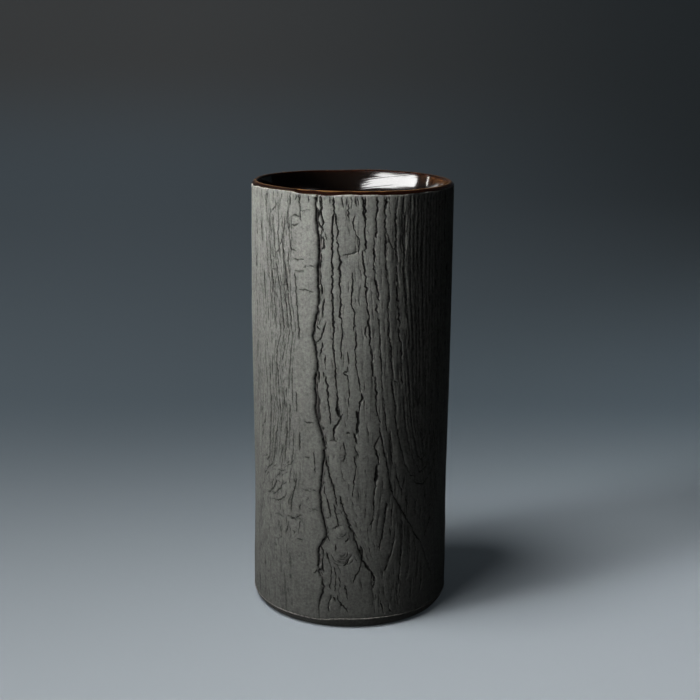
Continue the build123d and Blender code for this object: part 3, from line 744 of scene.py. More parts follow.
def carved(rng, crack_width, crack_depth):
    """Depths of the cracks and of the shallow grooves. Each row of the table is drawn and cut in turn."""
    behind = tuple(
        [(degrees * girth / 360, share * vase_height) for degrees, share in line] for line in back_cracks)
    cracks, shallow = np.zeros((2, up_cells, round_cells))
    cuts = (
        # field, lines or what draws them, what that is given, shares of a crack's width and depth, jag
        (cracks, wide_gaps, None, 1.9, 1.15, 0.2),
        (cracks, long_cracks, None, 1.05, 1.0, 0.24),
        (cracks, seam_cracks, None, 1.05, 1.1, 0.16),
        (cracks, behind, None, 1.0, 1.0, 0.3),
        (cracks, fine_cracks, None, 0.82, 0.85, 0.2),
        (cracks, lip_nicks, (), 0.75, 0.6, 0.1),
        (cracks, spurs, (long_cracks + behind, 6.5, 1.3), 0.6, 0.55, 0.06),
        (cracks, straggling, (67, 111, 6.6, 12, 50), 0.75, 0.6, 0.2),
        (cracks, straggling, (151, 206, 6.2, 12, 50), 0.75, 0.6, 0.2),
        (cracks, nested_arches, (131, 42, 214, 1.35, 11, 9), 0.75, 0.6, 0.18),
        (cracks, nicks, (68, 215, 26), 0.7, 0.55, 0.12),
        (shallow, faint_lines, None, 0.8, 0.68, 0.16),
        (shallow, net_cracks, None, 0.62, 0.5, 0.14),
        (shallow, nested_arches, (242, 60, 205, 1.5, 12, 9), 0.7, 0.4, 0.14),
        (shallow, straggling, (250, 285, 1.9, 6, 36, 90), 0.6, 0.34, 0.14),
        (shallow, straggling, (252, 284, 2.3, 2, 9, 8), 0.55, 0.22, 0.14),
        (shallow, straggling, (23, 66, 1.9, 10, 60, 100), 0.6, 0.36, 0.14),
        (shallow, straggling, (-13, 24, 2.6, 2, 8, 10), 0.55, 0.2, 0.14),
        (shallow, nicks, (262, 297, 30, 8, 100, 3), 0.6, 0.28, 0.1),
        (shallow, nicks, (-14, 21, 46, 20, 213, 2.6), 0.6, 0.3, 0.1),
        (shallow, ridge_grooves, None, 0.9, 0.5, 0.2),
        (shallow, knot_arcs, (), 0.75, 0.3, 0.1),
    )
    for field, lines, given, width, depth, jag in cuts:
        if callable(lines):
            lines = lines(rng, *given)
        cut(field, rng, lines, width * crack_width, depth * crack_depth, jag)
    return cracks, shallow


def lap_and_crease(rng, around, up, lap_height):
    """How proud the lap stands, how deep the crease beside it lies, and how torn the seam is.

    The left end of the slab stands proud at the seam and sinks back round the wall, as the square of the
    way that is left, and its edge falls off as a circle does. The crease is deepest at the seam.
    """
    ragged = wandering(rng, up[:, 0], 1.1, 0, 0.27)[:, None]
    gape = np.clip(wandering(rng, up[:, 0], 2.3, 1, 0.42), 0.35, 1.9)[:, None]
    left = (line_at(seam_line, up) + ragged - around) % girth
    right = girth - left
    openness = np.interp(up, *np.array(seam_openness).T)
    proud = lap_height * held(1 - left / lap_spread) ** 2 * np.clip((up + 2) / lap_full_height, 0.15, 1)
    near_edge = held(1 - left / lap_round)
    proud -= lap_round * lap_round_share * (1 - np.sqrt(1 - near_edge**2)) * np.minimum(openness, 1.1)
    openness = openness * gape * (1 + 0.5 * bell(up, widest_at, widest_reach, 4))
    crease = openness * held(1 - right / (0.3 + 0.9 * openness)) ** 0.7
    crease = np.maximum(crease, openness * 0.9 * held(1 - left / worn_width))
    torn = bell(up, tear_at, tear_reach) * bell(np.minimum(left, right), 0, tear_width)
    return proud, crease, torn


def soft_forms(around, up):
    """The soft rises, each a bell round and up, less the soft shoulders, which fade from their line."""
    rises = np.zeros(around.shape)
    for at, height, reach_round, reach_up, rise in soft_rises:
        away = way_round(around, at)
        rises += rise * np.exp(-((away / reach_round) ** 2) - ((up - height) / reach_up) ** 2)
    for line, drop, reach in soft_shoulders:
        past = way_round(around, line_at(line, up))
        ends = held(np.minimum(up - line[-1][1], line[0][1] - up) / 9)
        fall = np.where(past > 0, np.exp(-np.maximum(past, 0) / reach), bell(past, 0, shoulder_reach))
        rises -= drop * ends * fall
    return rises


def make_relief(sizes):
    """The wall's relief on its grid: height over the plain cylinder, painted shade in its cracks, crease and
    shallow lines, and tone.
    """
    wanted = (sizes.crack_depth, sizes.crack_width, sizes.ridge_height, sizes.lap_height)
    if wanted not in made_reliefs:
        made_reliefs.clear()
        made_reliefs[wanted] = new_relief(*(size * 1000 for size in wanted))
    return made_reliefs[wanted]


def new_relief(crack_depth, crack_width, ridge_height, lap_height):
    """Works the relief out: swell, lap and soft rises, less the cracks, grooves and crease."""
    rng = np.random.default_rng(31)
    up, around = np.mgrid[0:up_cells, 0:round_cells].astype(float)
    up *= up_cell
    around *= round_cell
    cracks, shallow = carved(rng, crack_width, crack_depth)
    ridge = np.zeros((up_cells, round_cells))
    cut(ridge, rng, ridge_grooves, 1.15, 1.0, 0.14)

    # The grain's own combing, with each strip looked up along the grain
    start = grain_start(around, up)
    broad = soft_noise(rng, 9, 26)
    plates = looked_up(soft_noise(rng, 1.5, 14), start, up)
    comb = looked_up(soft_noise(rng, 0.5, 5), start, up)
    grit = soft_noise(rng, 0.35, 0.45)

    proud, crease, torn = lap_and_crease(rng, around, up, lap_height)
    shoulder = blurred(np.minimum(cracks, 0.8), 0.55, 0.55)
    height = swell_at(up) - sink + proud + soft_forms(around, up) + broad_height * broad
    height += plate_height * plates
    height += ridge_height * (ridge_middle - ridge) * held(blurred(ridge, 2.2, 6) * 2.2)
    height += torn * (tear_roughness * soft_noise(rng, 0.5, 0.7) + tear_rise)
    height -= shoulder_share * shoulder + cracks + shallow + crease
    # Painted shade: the cracks, the seam's crease and the shallow lines are darkened by how deep they lie
    groove = held((cracks + 0.8 * crease) / (full_groove * crack_depth))
    groove += shallow_shade * held(shallow / full_shallow)
    tone = 0.5 + 0.08 * comb + 0.05 * plates + 0.06 * grit + 0.05 * broad
    return {
        "height": np.clip(height, -1.9, 1.2),
        "smooth": np.clip(blurred(height, 1.4, 1.4), -0.6, 1.0),
        "groove": held(groove),
        "tone": held(tone),
    }


def grid_mesh(name, points, ring=True, start_pole=None, end_pole=None):
    """Mesh over rows of points that each go once round, in mm. A ring's last row joins its first.

    Row after row runs up the outside of a piece, in over its top and down its inside, so the faces
    point outwards. A pole closes an end with a fan of triangles.
    """
    rows, columns, _ = points.shape
    index = np.arange(rows * columns).reshape(rows, columns)
    above = np.roll(index, -1, axis=0) if ring else index[1:]
    here = index if ring else index[:-1]
    quads = np.stack((here, np.roll(here, -1, axis=1), np.roll(above, -1, axis=1), above), -1)
    quads = quads.reshape(-1, 4)
    vertices = [points.reshape(-1, 3)]
    fans = []
    for pole, row, order in ((start_pole, index[0], (0, 2, 1)), (end_pole, index[-1], (0, 1, 2))):
        if pole is not None:
            tip = np.full(columns, sum(len(part) for part in vertices))
            vertices.append(np.array([pole], float))
            fans.append(np.stack((tip, row, np.roll(row, -1)), -1)[:, order])
    vertices = np.concatenate(vertices) / 1000
    triangles = np.concatenate(fans) if fans else np.zeros((0, 3), int)
    corners = np.concatenate((quads.ravel(), triangles.ravel()))
    sides = np.concatenate((np.full(len(quads), 4), np.full(len(triangles), 3)))
    starts = np.concatenate(([0], np.cumsum(sides)[:-1]))
    mesh = bpy.data.meshes.new(name)
    mesh.vertices.add(len(vertices))
    mesh.vertices.foreach_set("co", vertices.astype(np.float32).ravel())
    mesh.loops.add(len(corners))
    mesh.loops.foreach_set("vertex_index", corners.astype(np.int32))
    mesh.polygons.add(len(sides))
    mesh.polygons.foreach_set("loop_start", starts.astype(np.int32))
    mesh.update(calc_edges=True)
    mesh.validate()
    return mesh


def shaded_smooth(mesh):
    """Shades every face of a mesh smooth."""
    mesh.polygons.foreach_set("use_smooth", np.ones(len(mesh.polygons), bool))


def finished(name, mesh, material, slot, *nodes):
    """The piece with this mesh: shaded smooth, on the vase's body, in place of these solids."""
    old = bpy.data.objects.get(name)
    if old is not None:
        bpy.data.objects.remove(old)
    shaded_smooth(mesh)
    piece = bpy.data.objects.new(name, mesh)
    bpy.context.scene.collection.objects.link(piece)
    mesh.materials.clear()
    mesh.materials.append(material)
    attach(piece, "root")
    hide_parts(*nodes)
    return piece


def places_of(mesh):
    """A mesh's corners as (x, y, z) in mm."""
    points = np.zeros(len(mesh.vertices) * 3, np.float32)
    mesh.vertices.foreach_get("co", points)
    return points.reshape(-1, 3).astype(float) * 1000


def put_values(mesh, **values):
    """Stores one number a corner, or one vector, under each name, for a material to read."""
    for name, given in values.items():
        kind, field = ("FLOAT_VECTOR", "vector") if given.ndim == 2 else ("FLOAT", "value")
        store = mesh.attributes.get(name) or mesh.attributes.new(name, kind, "POINT")
        store.data.foreach_set(field, given.astype(np.float32).ravel())


def thinned(mesh, most):
    """A mesh of quads with its flat parts drawn in fewer faces, to at most this many triangles."""
    count = 2 * len(mesh.polygons)
    if count <= most:
        return mesh
    carrier = bpy.data.objects.new("thinning", mesh)
    bpy.context.scene.collection.objects.link(carrier)
    modifier = carrier.modifiers.new("thin", "DECIMATE")
    modifier.ratio = most / count
    bpy.context.view_layer.update()
    result = bpy.data.meshes.new_from_object(carrier.evaluated_get(bpy.context.evaluated_depsgraph_get()))
    bpy.data.objects.remove(carrier)
    return result


def with_dip(up, around):
    """Heights near the lip, lowered by its dips, which die out below: up - dip * s^2 (3 - 2 s)."""
    share = held((up - dip_from) / dip_rise)
    return up - crest_dip(around) * share**2 * (3 - 2 * share)


def thinning_profile(offset, count):
    """The inner face near the lip: an arc that leaves the upright wall at a tangent, as (radius, up)."""
    rise = lip_start - thinning_start
    bend = 2 * atan((lip_inner_radius - inner_radius) / rise)
    turn = np.linspace(0, bend, count)
    reach = rise / sin(bend)
    radius = inner_radius - offset + reach * (1 - np.cos(turn))
    return np.stack((radius, thinning_start + reach * np.sin(turn)), -1)


def lip_profile(offset, count):
    """The round from the inner face to the crest, a quarter circle, as (radius, up)."""
    turn = np.linspace(0, pi / 2, count)
    reach = lip_round + offset
    radius = lip_inner_radius + lip_round - reach * np.cos(turn)
    return np.stack((radius, lip_start + reach * np.sin(turn)), -1)


def coil_profile(offset, count):
    """The hollow face over the corner coil, an arc from the floor to the wall, as (radius, up)."""
    wall_end = np.array((inner_radius - offset, base_top + coil_size))
    floor_end = np.array((inner_radius - coil_size, base_top + offset))
    share = np.linspace(0, 1, count)
    bow = 4 * share * (1 - share) * (coil_dish - offset) / sqrt(2)
    line = floor_end + (wall_end - floor_end) * share[:, None]
    return np.stack((line[:, 0] + bow, line[:, 1] - bow), -1)


def upright(radius, heights):
    """A straight upright stretch of a profile."""
    return [(radius, height) for height in heights]


def turned(profile, around):
    """Rows of points: each (radius, up) of a profile taken once round the vase."""
    radius, up = np.array(profile, float).T[:, :, None] * np.ones(len(around))
    return place(around[None], with_dip(up, around[None]), radius)


def boxed_radius(around):
    """How far out the outside may lie in the square box: its reach / the larger of sin and cos."""
    turn = np.asarray(around) / rim_radius
    return box_reach / np.maximum(np.abs(np.sin(turn)), np.abs(np.cos(turn)))


def wall_columns(front, back):
    """Distances round at which the wall has columns: close at the front, wider apart at the back."""
    last = girth - front_reach
    behind = np.linspace(front_reach, last, round((last - front_reach) / back), False)
    return np.concatenate((np.arange(-front_reach, front_reach, front), behind))


def wall_points(relief):
    """Rows of the wall: up the outside, in over the bevel, down the inside and out below, once round."""
    detail = "full"
    around = wall_columns(front_steps[detail], back_steps[detail])
    bottom = foot_edge(around) + 0.05
    top = lip_edge(around) - np.clip(looked_up(relief["height"], around, 214.5), -1.0, 0.15)
    up = bottom + (top - bottom) * np.linspace(0, 1, wall_rows[detail])[:, None]
    height = looked_up(relief["height"], around[None], up)
    height -= bottom_fall * held(1 - (up - bottom) / bottom_round) ** 2
    height -= top_fall * held(1 - (top - up) / top_round) ** 2
    height = np.minimum(height, boxed_radius(around) - rim_radius)
    rows = [place(around[None], up, rim_radius + height)]
    edge_radius, edge_up = rim_radius + height[-1], up[-1]
    crest_up = clay_top - crest_dip(around)
    for share in bevel_shares:
        radius = edge_radius + (crest_radius - edge_radius) * share
        rows.append(place(around, edge_up + (crest_up - edge_up) * share, radius)[None])
    rows.append(turned(np.concatenate((lip_profile(0, 5)[::-1], thinning_profile(0, 9)[::-1][1:])), around))
    rows.append(turned(upright(inner_radius, (150, 100, 50, 8)), around))
    rows += [place(around, bottom, radius)[None] for radius in (inner_radius, 48, 49.4)]
    return np.concatenate(rows)


def lining_ripple(rng, up, around, ripple):
    """How far the lining's face stands in from its plain shape: bands, lumps and fine lines of sines.

    The bands run round and sway as they go, the lumps lean, and the lines fall slowly across the back.
    All die out at the lip and at the floor.
    """
    turn = around / rim_radius
    bands = lumps = 0
    for pitch, turns in lining_bands:
        strength = rng.normal(0, 0.04)
        sway = 0.35 * np.sin(turn * turns + rng.uniform(0, 6))
        bands = bands + strength * np.sin(2 * pi * (up / pitch + sway + rng.uniform(0, 1)))
    for order in range(3, 12):
        strength = rng.normal(0, 0.5)
        lumps = lumps + strength * np.sin(turn * order + up / rng.uniform(9, 30) + rng.uniform(0, 6))
    across = turn - pi
    below_lip = lip_start - up
    lines = sum(
        share * bell(below_lip - drop - lean * across - 0.2 * np.sin(5 * across + drop), 0, 0.16)
        for drop, lean, share in lining_lines)
    still = held(below_lip / 2.0) * held((up - 10) / 10)
    return ripple * still * (bands + lumps + 0.8 * lines * held(np.cos(across)))


def rgba(colour, share=1):
    """A colour, or a share of it, with its alpha."""
    return (*[part * share for part in colour], 1)


class Nodes:
    """Adds nodes to a tree and joins them, one call a node."""

    def __init__(self, tree):
        self.tree = tree

    def feed(self, socket, value):
        """Links a socket to another node's output, or sets it to a constant."""
        if isinstance(value, bpy.types.NodeSocket):
            self.tree.links.new(value, socket)
        else:
            socket.default_value = value

    def add(self, kind, settings=None, **inputs):
        """A node of a kind, with its settings, and its inputs fed by their names or places."""
        prefix = "Node" if kind in ("GroupInput", "GroupOutput") else "ShaderNode"
        node = self.tree.nodes.new(prefix + kind)
        for key, value in (settings or {}).items():
            setattr(node, key, value)
        for key, value in inputs.items():
            place_in_row = int(key[1:]) if key[1:].isdigit() else key.replace("_", " ")
            self.feed(node.inputs[place_in_row], value)
        return node

    def math(self, operation, first, second, clamp=False):
        """One sum of two values."""
        settings = {"operation": operation, "use_clamp": clamp}
        return self.add("Math", settings, _0=first, _1=second).outputs[0]

    def plus(self, first, second, clamp=False):
        """Two values added, and held between 0 and 1 if asked."""
        return self.math("ADD", first, second, clamp)

    def times(self, first, second):
        """Two values multiplied."""
        return self.math("MULTIPLY", first, second)

    def stretched(self, vector, factors):
        """A place with its parts multiplied, each by its own factor."""
        return self.add("VectorMath", {"operation": "MULTIPLY"}, _0=vector, _1=factors).outputs[0]

    def mix(self, share, first, second):
        """A colour between two."""
        node = self.add("Mix", {"data_type": "RGBA"})
        sockets = {socket.identifier: socket for socket in (*node.inputs, *node.outputs)}
        for label, value in (("Factor_Float", share), ("A_Color", first), ("B_Color", second)):
            self.feed(sockets[label], value)
        return sockets["Result_Color"]

    def noise(self, vector, scale, detail=2.0, roughness=0.5):
        """Noise from 0 to 1 at a place."""
        node = self.add("TexNoise", None, Vector=vector, Scale=scale, Detail=detail, Roughness=roughness)
        return node.outputs[0]

    def spread(self, value, low, high, steps="LINEAR"):
        """A value stretched so that low becomes 0 and high 1, straight or smoothly."""
        settings = {"clamp": True, "interpolation_type": steps}
        return self.add("MapRange", settings, Value=value, From_Min=low, From_Max=high).outputs[0]


def effect_group(name, inputs, fill):
    """A shader group with these named inputs, made once. Fill gives its colour, roughness and height."""
    group = bpy.data.node_groups.get(name)
    if group is not None:
        return group
    group = bpy.data.node_groups.new(name, "ShaderNodeTree")
    for label, kind, default in inputs:
        socket = group.interface.new_socket(name=label, in_out="INPUT", socket_type="NodeSocket" + kind)
        if default is not None:
            socket.default_value = default
    for label, kind in (("Color", "Color"), ("Roughness", "Float"), ("Height", "Float")):
        group.interface.new_socket(name=label, in_out="OUTPUT", socket_type="NodeSocket" + kind)
    nodes = Nodes(group)
    results = fill(nodes, nodes.add("GroupInput").outputs)
    for socket, result in zip(nodes.add("GroupOutput").inputs, results):
        nodes.feed(socket, result)
    return group


def clay_group():
    """Grain of the bare clay: streaks along the wood grain, grit and soft blotches, with painted shade in
    the grooves and a pale edge line that is partly a painted highlight.
    """
    inputs = (
        ("Place", "Vector", None), ("Spot", "Vector", None), ("Clay", "Color", None),
        ("Shade Colour", "Color", None), ("Edge", "Color", None), ("Painted Shade", "Float", 0.0), ("Tone", "Float", 0.5),
        ("Edge Wear And Highlight", "Float", 0.0), ("Hairlines", "Float", 0.0), ("Hairline Scale", "Float", 150.0),
        ("Streak Scale", "Float", 1500.0), ("Streak Stretch", "Float", 0.08))

    def fill(nodes, given):
        """Sums the shares of each noise into the clay's tone, paints shade into its grooves and hairlines,
        and lays the pale edge line over it.
        """
        along = nodes.add("CombineXYZ", None, X=1.0, Y=1.0, Z=given["Streak Stretch"]).outputs[0]
        combed = nodes.stretched(given["Place"], along)
        streak = nodes.noise(combed, given["Streak Scale"], 3.0, 0.6)
        coarse = nodes.noise(combed, nodes.times(given["Streak Scale"], 0.3))
        grit = nodes.noise(given["Spot"], 700.0, 6.0, 0.8)
        blotch = nodes.noise(given["Spot"], 70.0, 3.0, 0.55)

        # Hairlines: where a stretched noise, times the number of its levels, is near a whole number. They
        # sink in the bump and take the painted shade colour.
        drawn = nodes.stretched(given["Place"], (1.0, 1.0, 0.05))
        levels = nodes.times(nodes.noise(drawn, given["Hairline Scale"], 3.0, 0.6), 5.0)
        line = nodes.spread(nodes.math("PINGPONG", levels, 0.5), 0.07, 0.02)
        breaks = nodes.noise(nodes.stretched(given["Place"], (1.0, 1.0, 0.3)), 260.0)
        line = nodes.times(line, nodes.spread(breaks, 0.44, 0.54))
        line = nodes.times(line, given["Hairlines"])

        light = 1.0
        for part, share in ((streak, 0.35), (grit, 2.3), (blotch, 0.3), (coarse, 0.1), (given["Tone"], 0.4)):
            light = nodes.plus(light, nodes.times(nodes.math("SUBTRACT", part, 0.5), share))
        shade = nodes.add("VectorMath", {"operation": "SCALE"}, _0=given["Clay"], Scale=light).outputs[0]
        # Painted shade: cracks, creases and the foot's under-bevel turn towards the shade colour, and so do
        # the hairlines below
        colour = nodes.mix(nodes.times(given["Painted Shade"], 0.95), shade, given["Shade Colour"])
        colour = nodes.mix(nodes.times(line, 0.75), colour, given["Shade Colour"])
        # Pale edge line: partly rubbed clay, partly a painted highlight where the lip's and the foot's edges
        # catch the light
        worn_and_lit = nodes.times(given["Edge Wear And Highlight"], nodes.spread(grit, 0.35, 0.6))
        colour = nodes.mix(worn_and_lit, colour, given["Edge"])
        rough = nodes.plus(0.74, nodes.times(grit, 0.2), True)
        height = nodes.plus(nodes.times(streak, 0.3), grit)
        height = nodes.plus(height, nodes.times(coarse, 0.1))
        return colour, rough, nodes.math("SUBTRACT", height, nodes.times(line, 0.5))

    return effect_group("Clay Grain", inputs, fill)


def glaze_group():
    """A thin pool of glaze: dark where it is thick, amber where it thins, with slow ripples."""
    inputs = (
        ("Place", "Vector", None), ("Thick", "Color", None), ("Thin", "Color", None),
        ("Thinness", "Float", 0.0), ("Streak Scale", "Float", 260.0))

    def fill(nodes, given):
        """Lets a noise that runs down the glaze, and a fine one, shift where it thins."""
        runs = nodes.stretched(given["Place"], (1.0, 1.0, 0.35))
        drift = nodes.noise(runs, given["Streak Scale"], 3.0, 0.6)
        fleck = nodes.noise(given["Place"], 1700.0, 2.0, 0.6)
        share = nodes.times(given["Thinness"], nodes.plus(0.35, nodes.times(drift, 1.3)))
        share = nodes.plus(share, nodes.times(nodes.math("SUBTRACT", fleck, 0.5), 0.12), True)
        colour = nodes.mix(share, given["Thick"], given["Thin"])
        rough = nodes.plus(0.07, nodes.times(fleck, 0.08))
        return colour, rough, nodes.plus(nodes.times(drift, 0.8), nodes.times(fleck, 0.08))

    return effect_group("Glaze Pool", inputs, fill)


def fresh_material(name):
    """The material of this name with nothing but a shader: (material, nodes, shader)."""
    material = bpy.data.materials.get(name) or bpy.data.materials.new(name)
    material.use_nodes = True
    material.node_tree.nodes.clear()
    nodes = Nodes(material.node_tree)
    shader = nodes.add("BsdfPrincipled")
    nodes.feed(nodes.add("OutputMaterial").inputs[0], shader.outputs[0])
    return material, nodes, shader


def grouped_material(name, group, values, bump, finish, reads=()):
    """A material from a shader group: its values, its bump in metres, its finish and what it reads.

    Each input in reads comes from an attribute, and the two places otherwise from Object coordinates.
    """
    material, nodes, shader = fresh_material(name)
    effect = nodes.add("Group", {"node_tree": group})
    for label, value in values.items():
        effect.inputs[label].default_value = value
    for label, attribute in reads:
        source = nodes.add("Attribute", {"attribute_name": attribute})
        nodes.feed(effect.inputs[label], source.outputs["Vector" if label == "Place" else "Fac"])
    own = nodes.add("TexCoord").outputs["Object"]
    for label in ("Place", "Spot"):
        if label in effect.inputs and label not in dict(reads):
            nodes.feed(effect.inputs[label], own)
    nodes.feed(shader.inputs["Base Color"], effect.outputs["Color"])
    nodes.feed(shader.inputs["Roughness"], effect.outputs["Roughness"])
    rise = nodes.add("Bump", None, Strength=1.0, Distance=bump, Height=effect.outputs["Height"])
    nodes.feed(shader.inputs["Normal"], rise.outputs[0])
    for label, value in finish.items():
        shader.inputs[label].default_value = value
    return material


def clay_material(colours):
    """Bare black clay on the pieces that carry the relief."""
    reads = (
        ("Place", "grain_place"), ("Painted Shade", "groove"), ("Tone", "tone"), ("Edge Wear And Highlight", "bare_edge"),
        ("Hairlines", "hairlines"))
    values = {"Clay": rgba(colours.clay), "Shade Colour": rgba(colours.crack_shade), "Edge": rgba(colours.edge)}
    return grouped_material("Black Clay", clay_group(), values, 0.0003, {"Specular IOR Level": 0.1}, reads)


def plain_clay_material(colours):
    """The same clay on a piece with no relief, such as the coil."""
    values = {"Clay": rgba(colours.clay), "Shade Colour": rgba(colours.crack_shade), "Streak Stretch": 1.0}
    return grouped_material("Plain Clay", clay_group(), values, 0.00008, {"Specular IOR Level": 0.1})


def slip_material(colours):
    """Joining slip: the clay again, thinner and smoother."""
    values = {
        "Clay": rgba(colours.slip), "Shade Colour": rgba(colours.crack_shade), "Streak Scale": 900.0,
        "Streak Stretch": 0.6}
    return grouped_material("Clay Slip", clay_group(), values, 0.00006, {"Specular IOR Level": 0.4})


def glaze_material(name, thick, thin, bump, streaks, coat):
    """Glossy glaze, amber where the piece says that it is thin, under a clear coat of this weight."""
    values = {"Thick": rgba(thick), "Thin": rgba(thin), "Streak Scale": streaks}
    finish = {"IOR": 1.52, "Specular IOR Level": 0.15 + coat, "Coat Weight": coat, "Coat Roughness": 0.04}
    return grouped_material(name, glaze_group(), values, bump, finish, (("Thinness", "thinness"),))


def floor_material(colours):
    """Floor that is pale near the camera and dark behind, where it has a faint light of its own.

    Only the camera and mirrored rays see it so. The rays that light the vase meet a darker floor.
    """
    material, nodes, shader = fresh_material("Pale Floor")
    where = nodes.add("TexCoord").outputs["Object"]
    across, back, high = nodes.add("SeparateXYZ", None, Vector=where).outputs
    near = nodes.spread(back, dark_from, pale_from, "SMOOTHSTEP")
    near = nodes.plus(near, nodes.times(nodes.noise(where, 3.0), 0.02), True)
    path = nodes.add("LightPath").outputs
    seen = nodes.plus(path["Is Camera Ray"], path["Is Glossy Ray"])
    seen = nodes.plus(seen, path["Is Transmission Ray"], True)
    shade = nodes.mix(near, rgba(colours.backdrop), rgba(colours.floor))
    shade = nodes.mix(seen, rgba(colours.floor, colours.floor_bounce), shade)
    up_the_back = nodes.spread(high, 0.0, high_from, "SMOOTHSTEP")
    to_the_right = nodes.spread(across, *glow_falls, "SMOOTHSTEP")
    glow = nodes.mix(up_the_back, rgba(colours.low_glow), rgba(colours.high_glow))
    glow = nodes.mix(to_the_right, glow, rgba(colours.right_glow))
    glow = nodes.mix(near, glow, rgba(colours.floor, colours.floor_glow))
    nodes.feed(shader.inputs["Base Color"], shade)
    nodes.feed(shader.inputs["Emission Color"], nodes.mix(seen, (0, 0, 0, 1), glow))
    for label, value in (("Emission Strength", 1.0), ("Roughness", 0.75), ("Specular IOR Level", 0.2)):
        shader.inputs[label].default_value = value
    return material


def add_floor(colours):
    """A floor that curves up into a backdrop along a quarter circle, as one strip of faces."""
    turn = np.linspace(0, pi / 2, 40)
    back = bend_start + bend_radius
    depth = np.concatenate(([floor_front], bend_start + bend_radius * np.sin(turn), [back]))
    rise = np.concatenate(([0.0], bend_radius - bend_radius * np.cos(turn), [backdrop_top]))
    left = np.stack((np.full(len(depth), -half_width), depth, rise), -1)
    index = np.arange(len(depth) - 1)
    faces = np.stack((index, index + len(depth), index + len(depth) + 1, index + 1), -1)
    mesh = bpy.data.meshes.new("floor")
    mesh.from_pydata(np.concatenate((left, left * (-1, 1, 1))).tolist(), [], faces.tolist())
    shaded_smooth(mesh)
    mesh.materials.append(floor_material(colours))
    floor = bpy.data.objects.new("floor", mesh)
    bpy.context.scene.collection.objects.link(floor)


def add_lamps(scene):
    """The soft lamps, each aimed at its place, and the faint light from all round."""
    for name, spot, aim, roll, across, tall, watts, spread, on_clay, in_glaze in lamps:
        lamp = bpy.data.lights.new(name, "AREA")
        lamp.shape = "RECTANGLE" if name == "strip" else "ELLIPSE"
        lamp.size, lamp.size_y, lamp.energy = across, tall, watts
        lamp.spread = radians(spread)
        holder = bpy.data.objects.new(name, lamp)
        way = Vector(aim) - Vector(spot)
        holder.matrix_world = (
            Matrix.Translation(spot) @ way.to_track_quat("-Z", "Y").to_matrix().to_4x4()
            @ Matrix.Rotation(radians(roll), 4, "Z"))
        holder.visible_diffuse, holder.visible_glossy = on_clay, in_glaze
        scene.collection.objects.link(holder)
    world = scene.world or bpy.data.worlds.new("World")
    scene.world = world
    world.use_nodes = True
    background = world.node_tree.nodes.get("Background") or world.node_tree.nodes.new("ShaderNodeBackground")
    background.inputs["Color"].default_value = world_colour
    background.inputs["Strength"].default_value = world_strength


def add_camera(scene):
    """The camera that the photograph's outlines were fitted with."""
    camera = bpy.data.cameras.new("camera")
    camera.lens, camera.sensor_width = camera_lens, camera_sensor
    camera.clip_start, camera.clip_end = 0.05, 20
    holder = bpy.data.objects.new("camera", camera)
    holder.matrix_world = (
        Matrix.Translation(camera_place)
        @ Matrix.Rotation(pi / 2 - camera_pitch, 4, "X") @ Matrix.Rotation(camera_roll, 4, "Z"))
    scene.collection.objects.link(holder)
    scene.camera = holder


def length(name, description, default, least=0):
    """A setting that is a length."""
    return bpy.props.FloatProperty(
        name=name, description=description, default=default, min=least, unit="LENGTH", precision=6)


def colour(name, description, default):
    """A setting that is a colour."""
    return bpy.props.FloatVectorProperty(
        name=name, description=description, default=default, subtype="COLOR", min=0, max=1)


def part_of_one(name, description, default):
    """A setting that is a share."""
    return bpy.props.FloatProperty(
        name=name, description=description, default=default, subtype="FACTOR", min=0, max=1)


class VaseSizes(bpy.types.PropertyGroup):
    """Sizes of the clay's relief and of the glaze."""

    crack_depth: length("Crack depth", "How deep the long drying cracks go", 0.0009)
    crack_width: length("Crack width", "How wide the long drying cracks lie open", 0.00062, 0.0003)
    ridge_height: length("Ridge height", "How far the ridges on the right stand over their grooves", 0.00042)
    lap_height: length("Lap height", "How proud the slab's upper end stands at the seam", 0.0009)
    ripple: length("Glaze ripple", "How far the ripples in the lining's glaze rise", 0.00003)
    most_triangles: bpy.props.IntProperty(
        name="Most triangles", description="The most triangles that the wall is drawn in",
        default=190000, min=10000)


class VaseColours(bpy.types.PropertyGroup):
    """Colours of the clay, the glaze and the floor."""

    clay: colour("Clay", "Bare clay", (0.118, 0.1205, 0.1105))
    # Painted shade: the near-black laid into cracks, creases, hairlines and under the foot's edge, where
    # shade falls
    crack_shade: colour("Crack", "Clay deep in a crack", (0.008, 0.0075, 0.007))
    # Pale edge line: partly rubbed clay, partly a painted highlight where the lip's and the foot's edges
    # catch the light
    edge: colour("Edge", "Clay rubbed pale along the lip's and the foot's edges", (0.4, 0.375, 0.345))
    slip: colour("Slip", "Joining slip in the seam", (0.085, 0.081, 0.074))
    glaze: colour("Lining glaze", "Lining glaze where it is thick", (0.004, 0.0028, 0.0022))
    amber: colour("Amber glaze", "Lining glaze where it is thin", (0.052, 0.02, 0.005))
    lip: colour("Lip glaze", "Glaze on the bevel", (0.008, 0.0025, 0.0015))
    gold: colour("Crest glaze", "Glaze where it breaks thin over the crest", (0.12, 0.062, 0.026))
    floor: colour("Floor", "Floor in front of the vase", (0.56, 0.615, 0.66))
    backdrop: colour("Backdrop", "Far floor and backdrop", (0.06, 0.082, 0.098))
    low_glow: colour("Low glow", "Faint light of the far floor, at its left", (0.044, 0.055, 0.064))
    high_glow: colour("High glow", "Faint light of the backdrop, at its left", (0.038, 0.04, 0.041))
    right_glow: colour("Right glow", "Faint light behind the vase, at the right", (0.014, 0.017, 0.019))
    floor_glow: part_of_one("Floor glow", "Share of its own colour that the near floor shows unlit", 0.004)
    floor_bounce: part_of_one("Floor bounce", "Share of the floor's colour that lights the vase", 0.05)


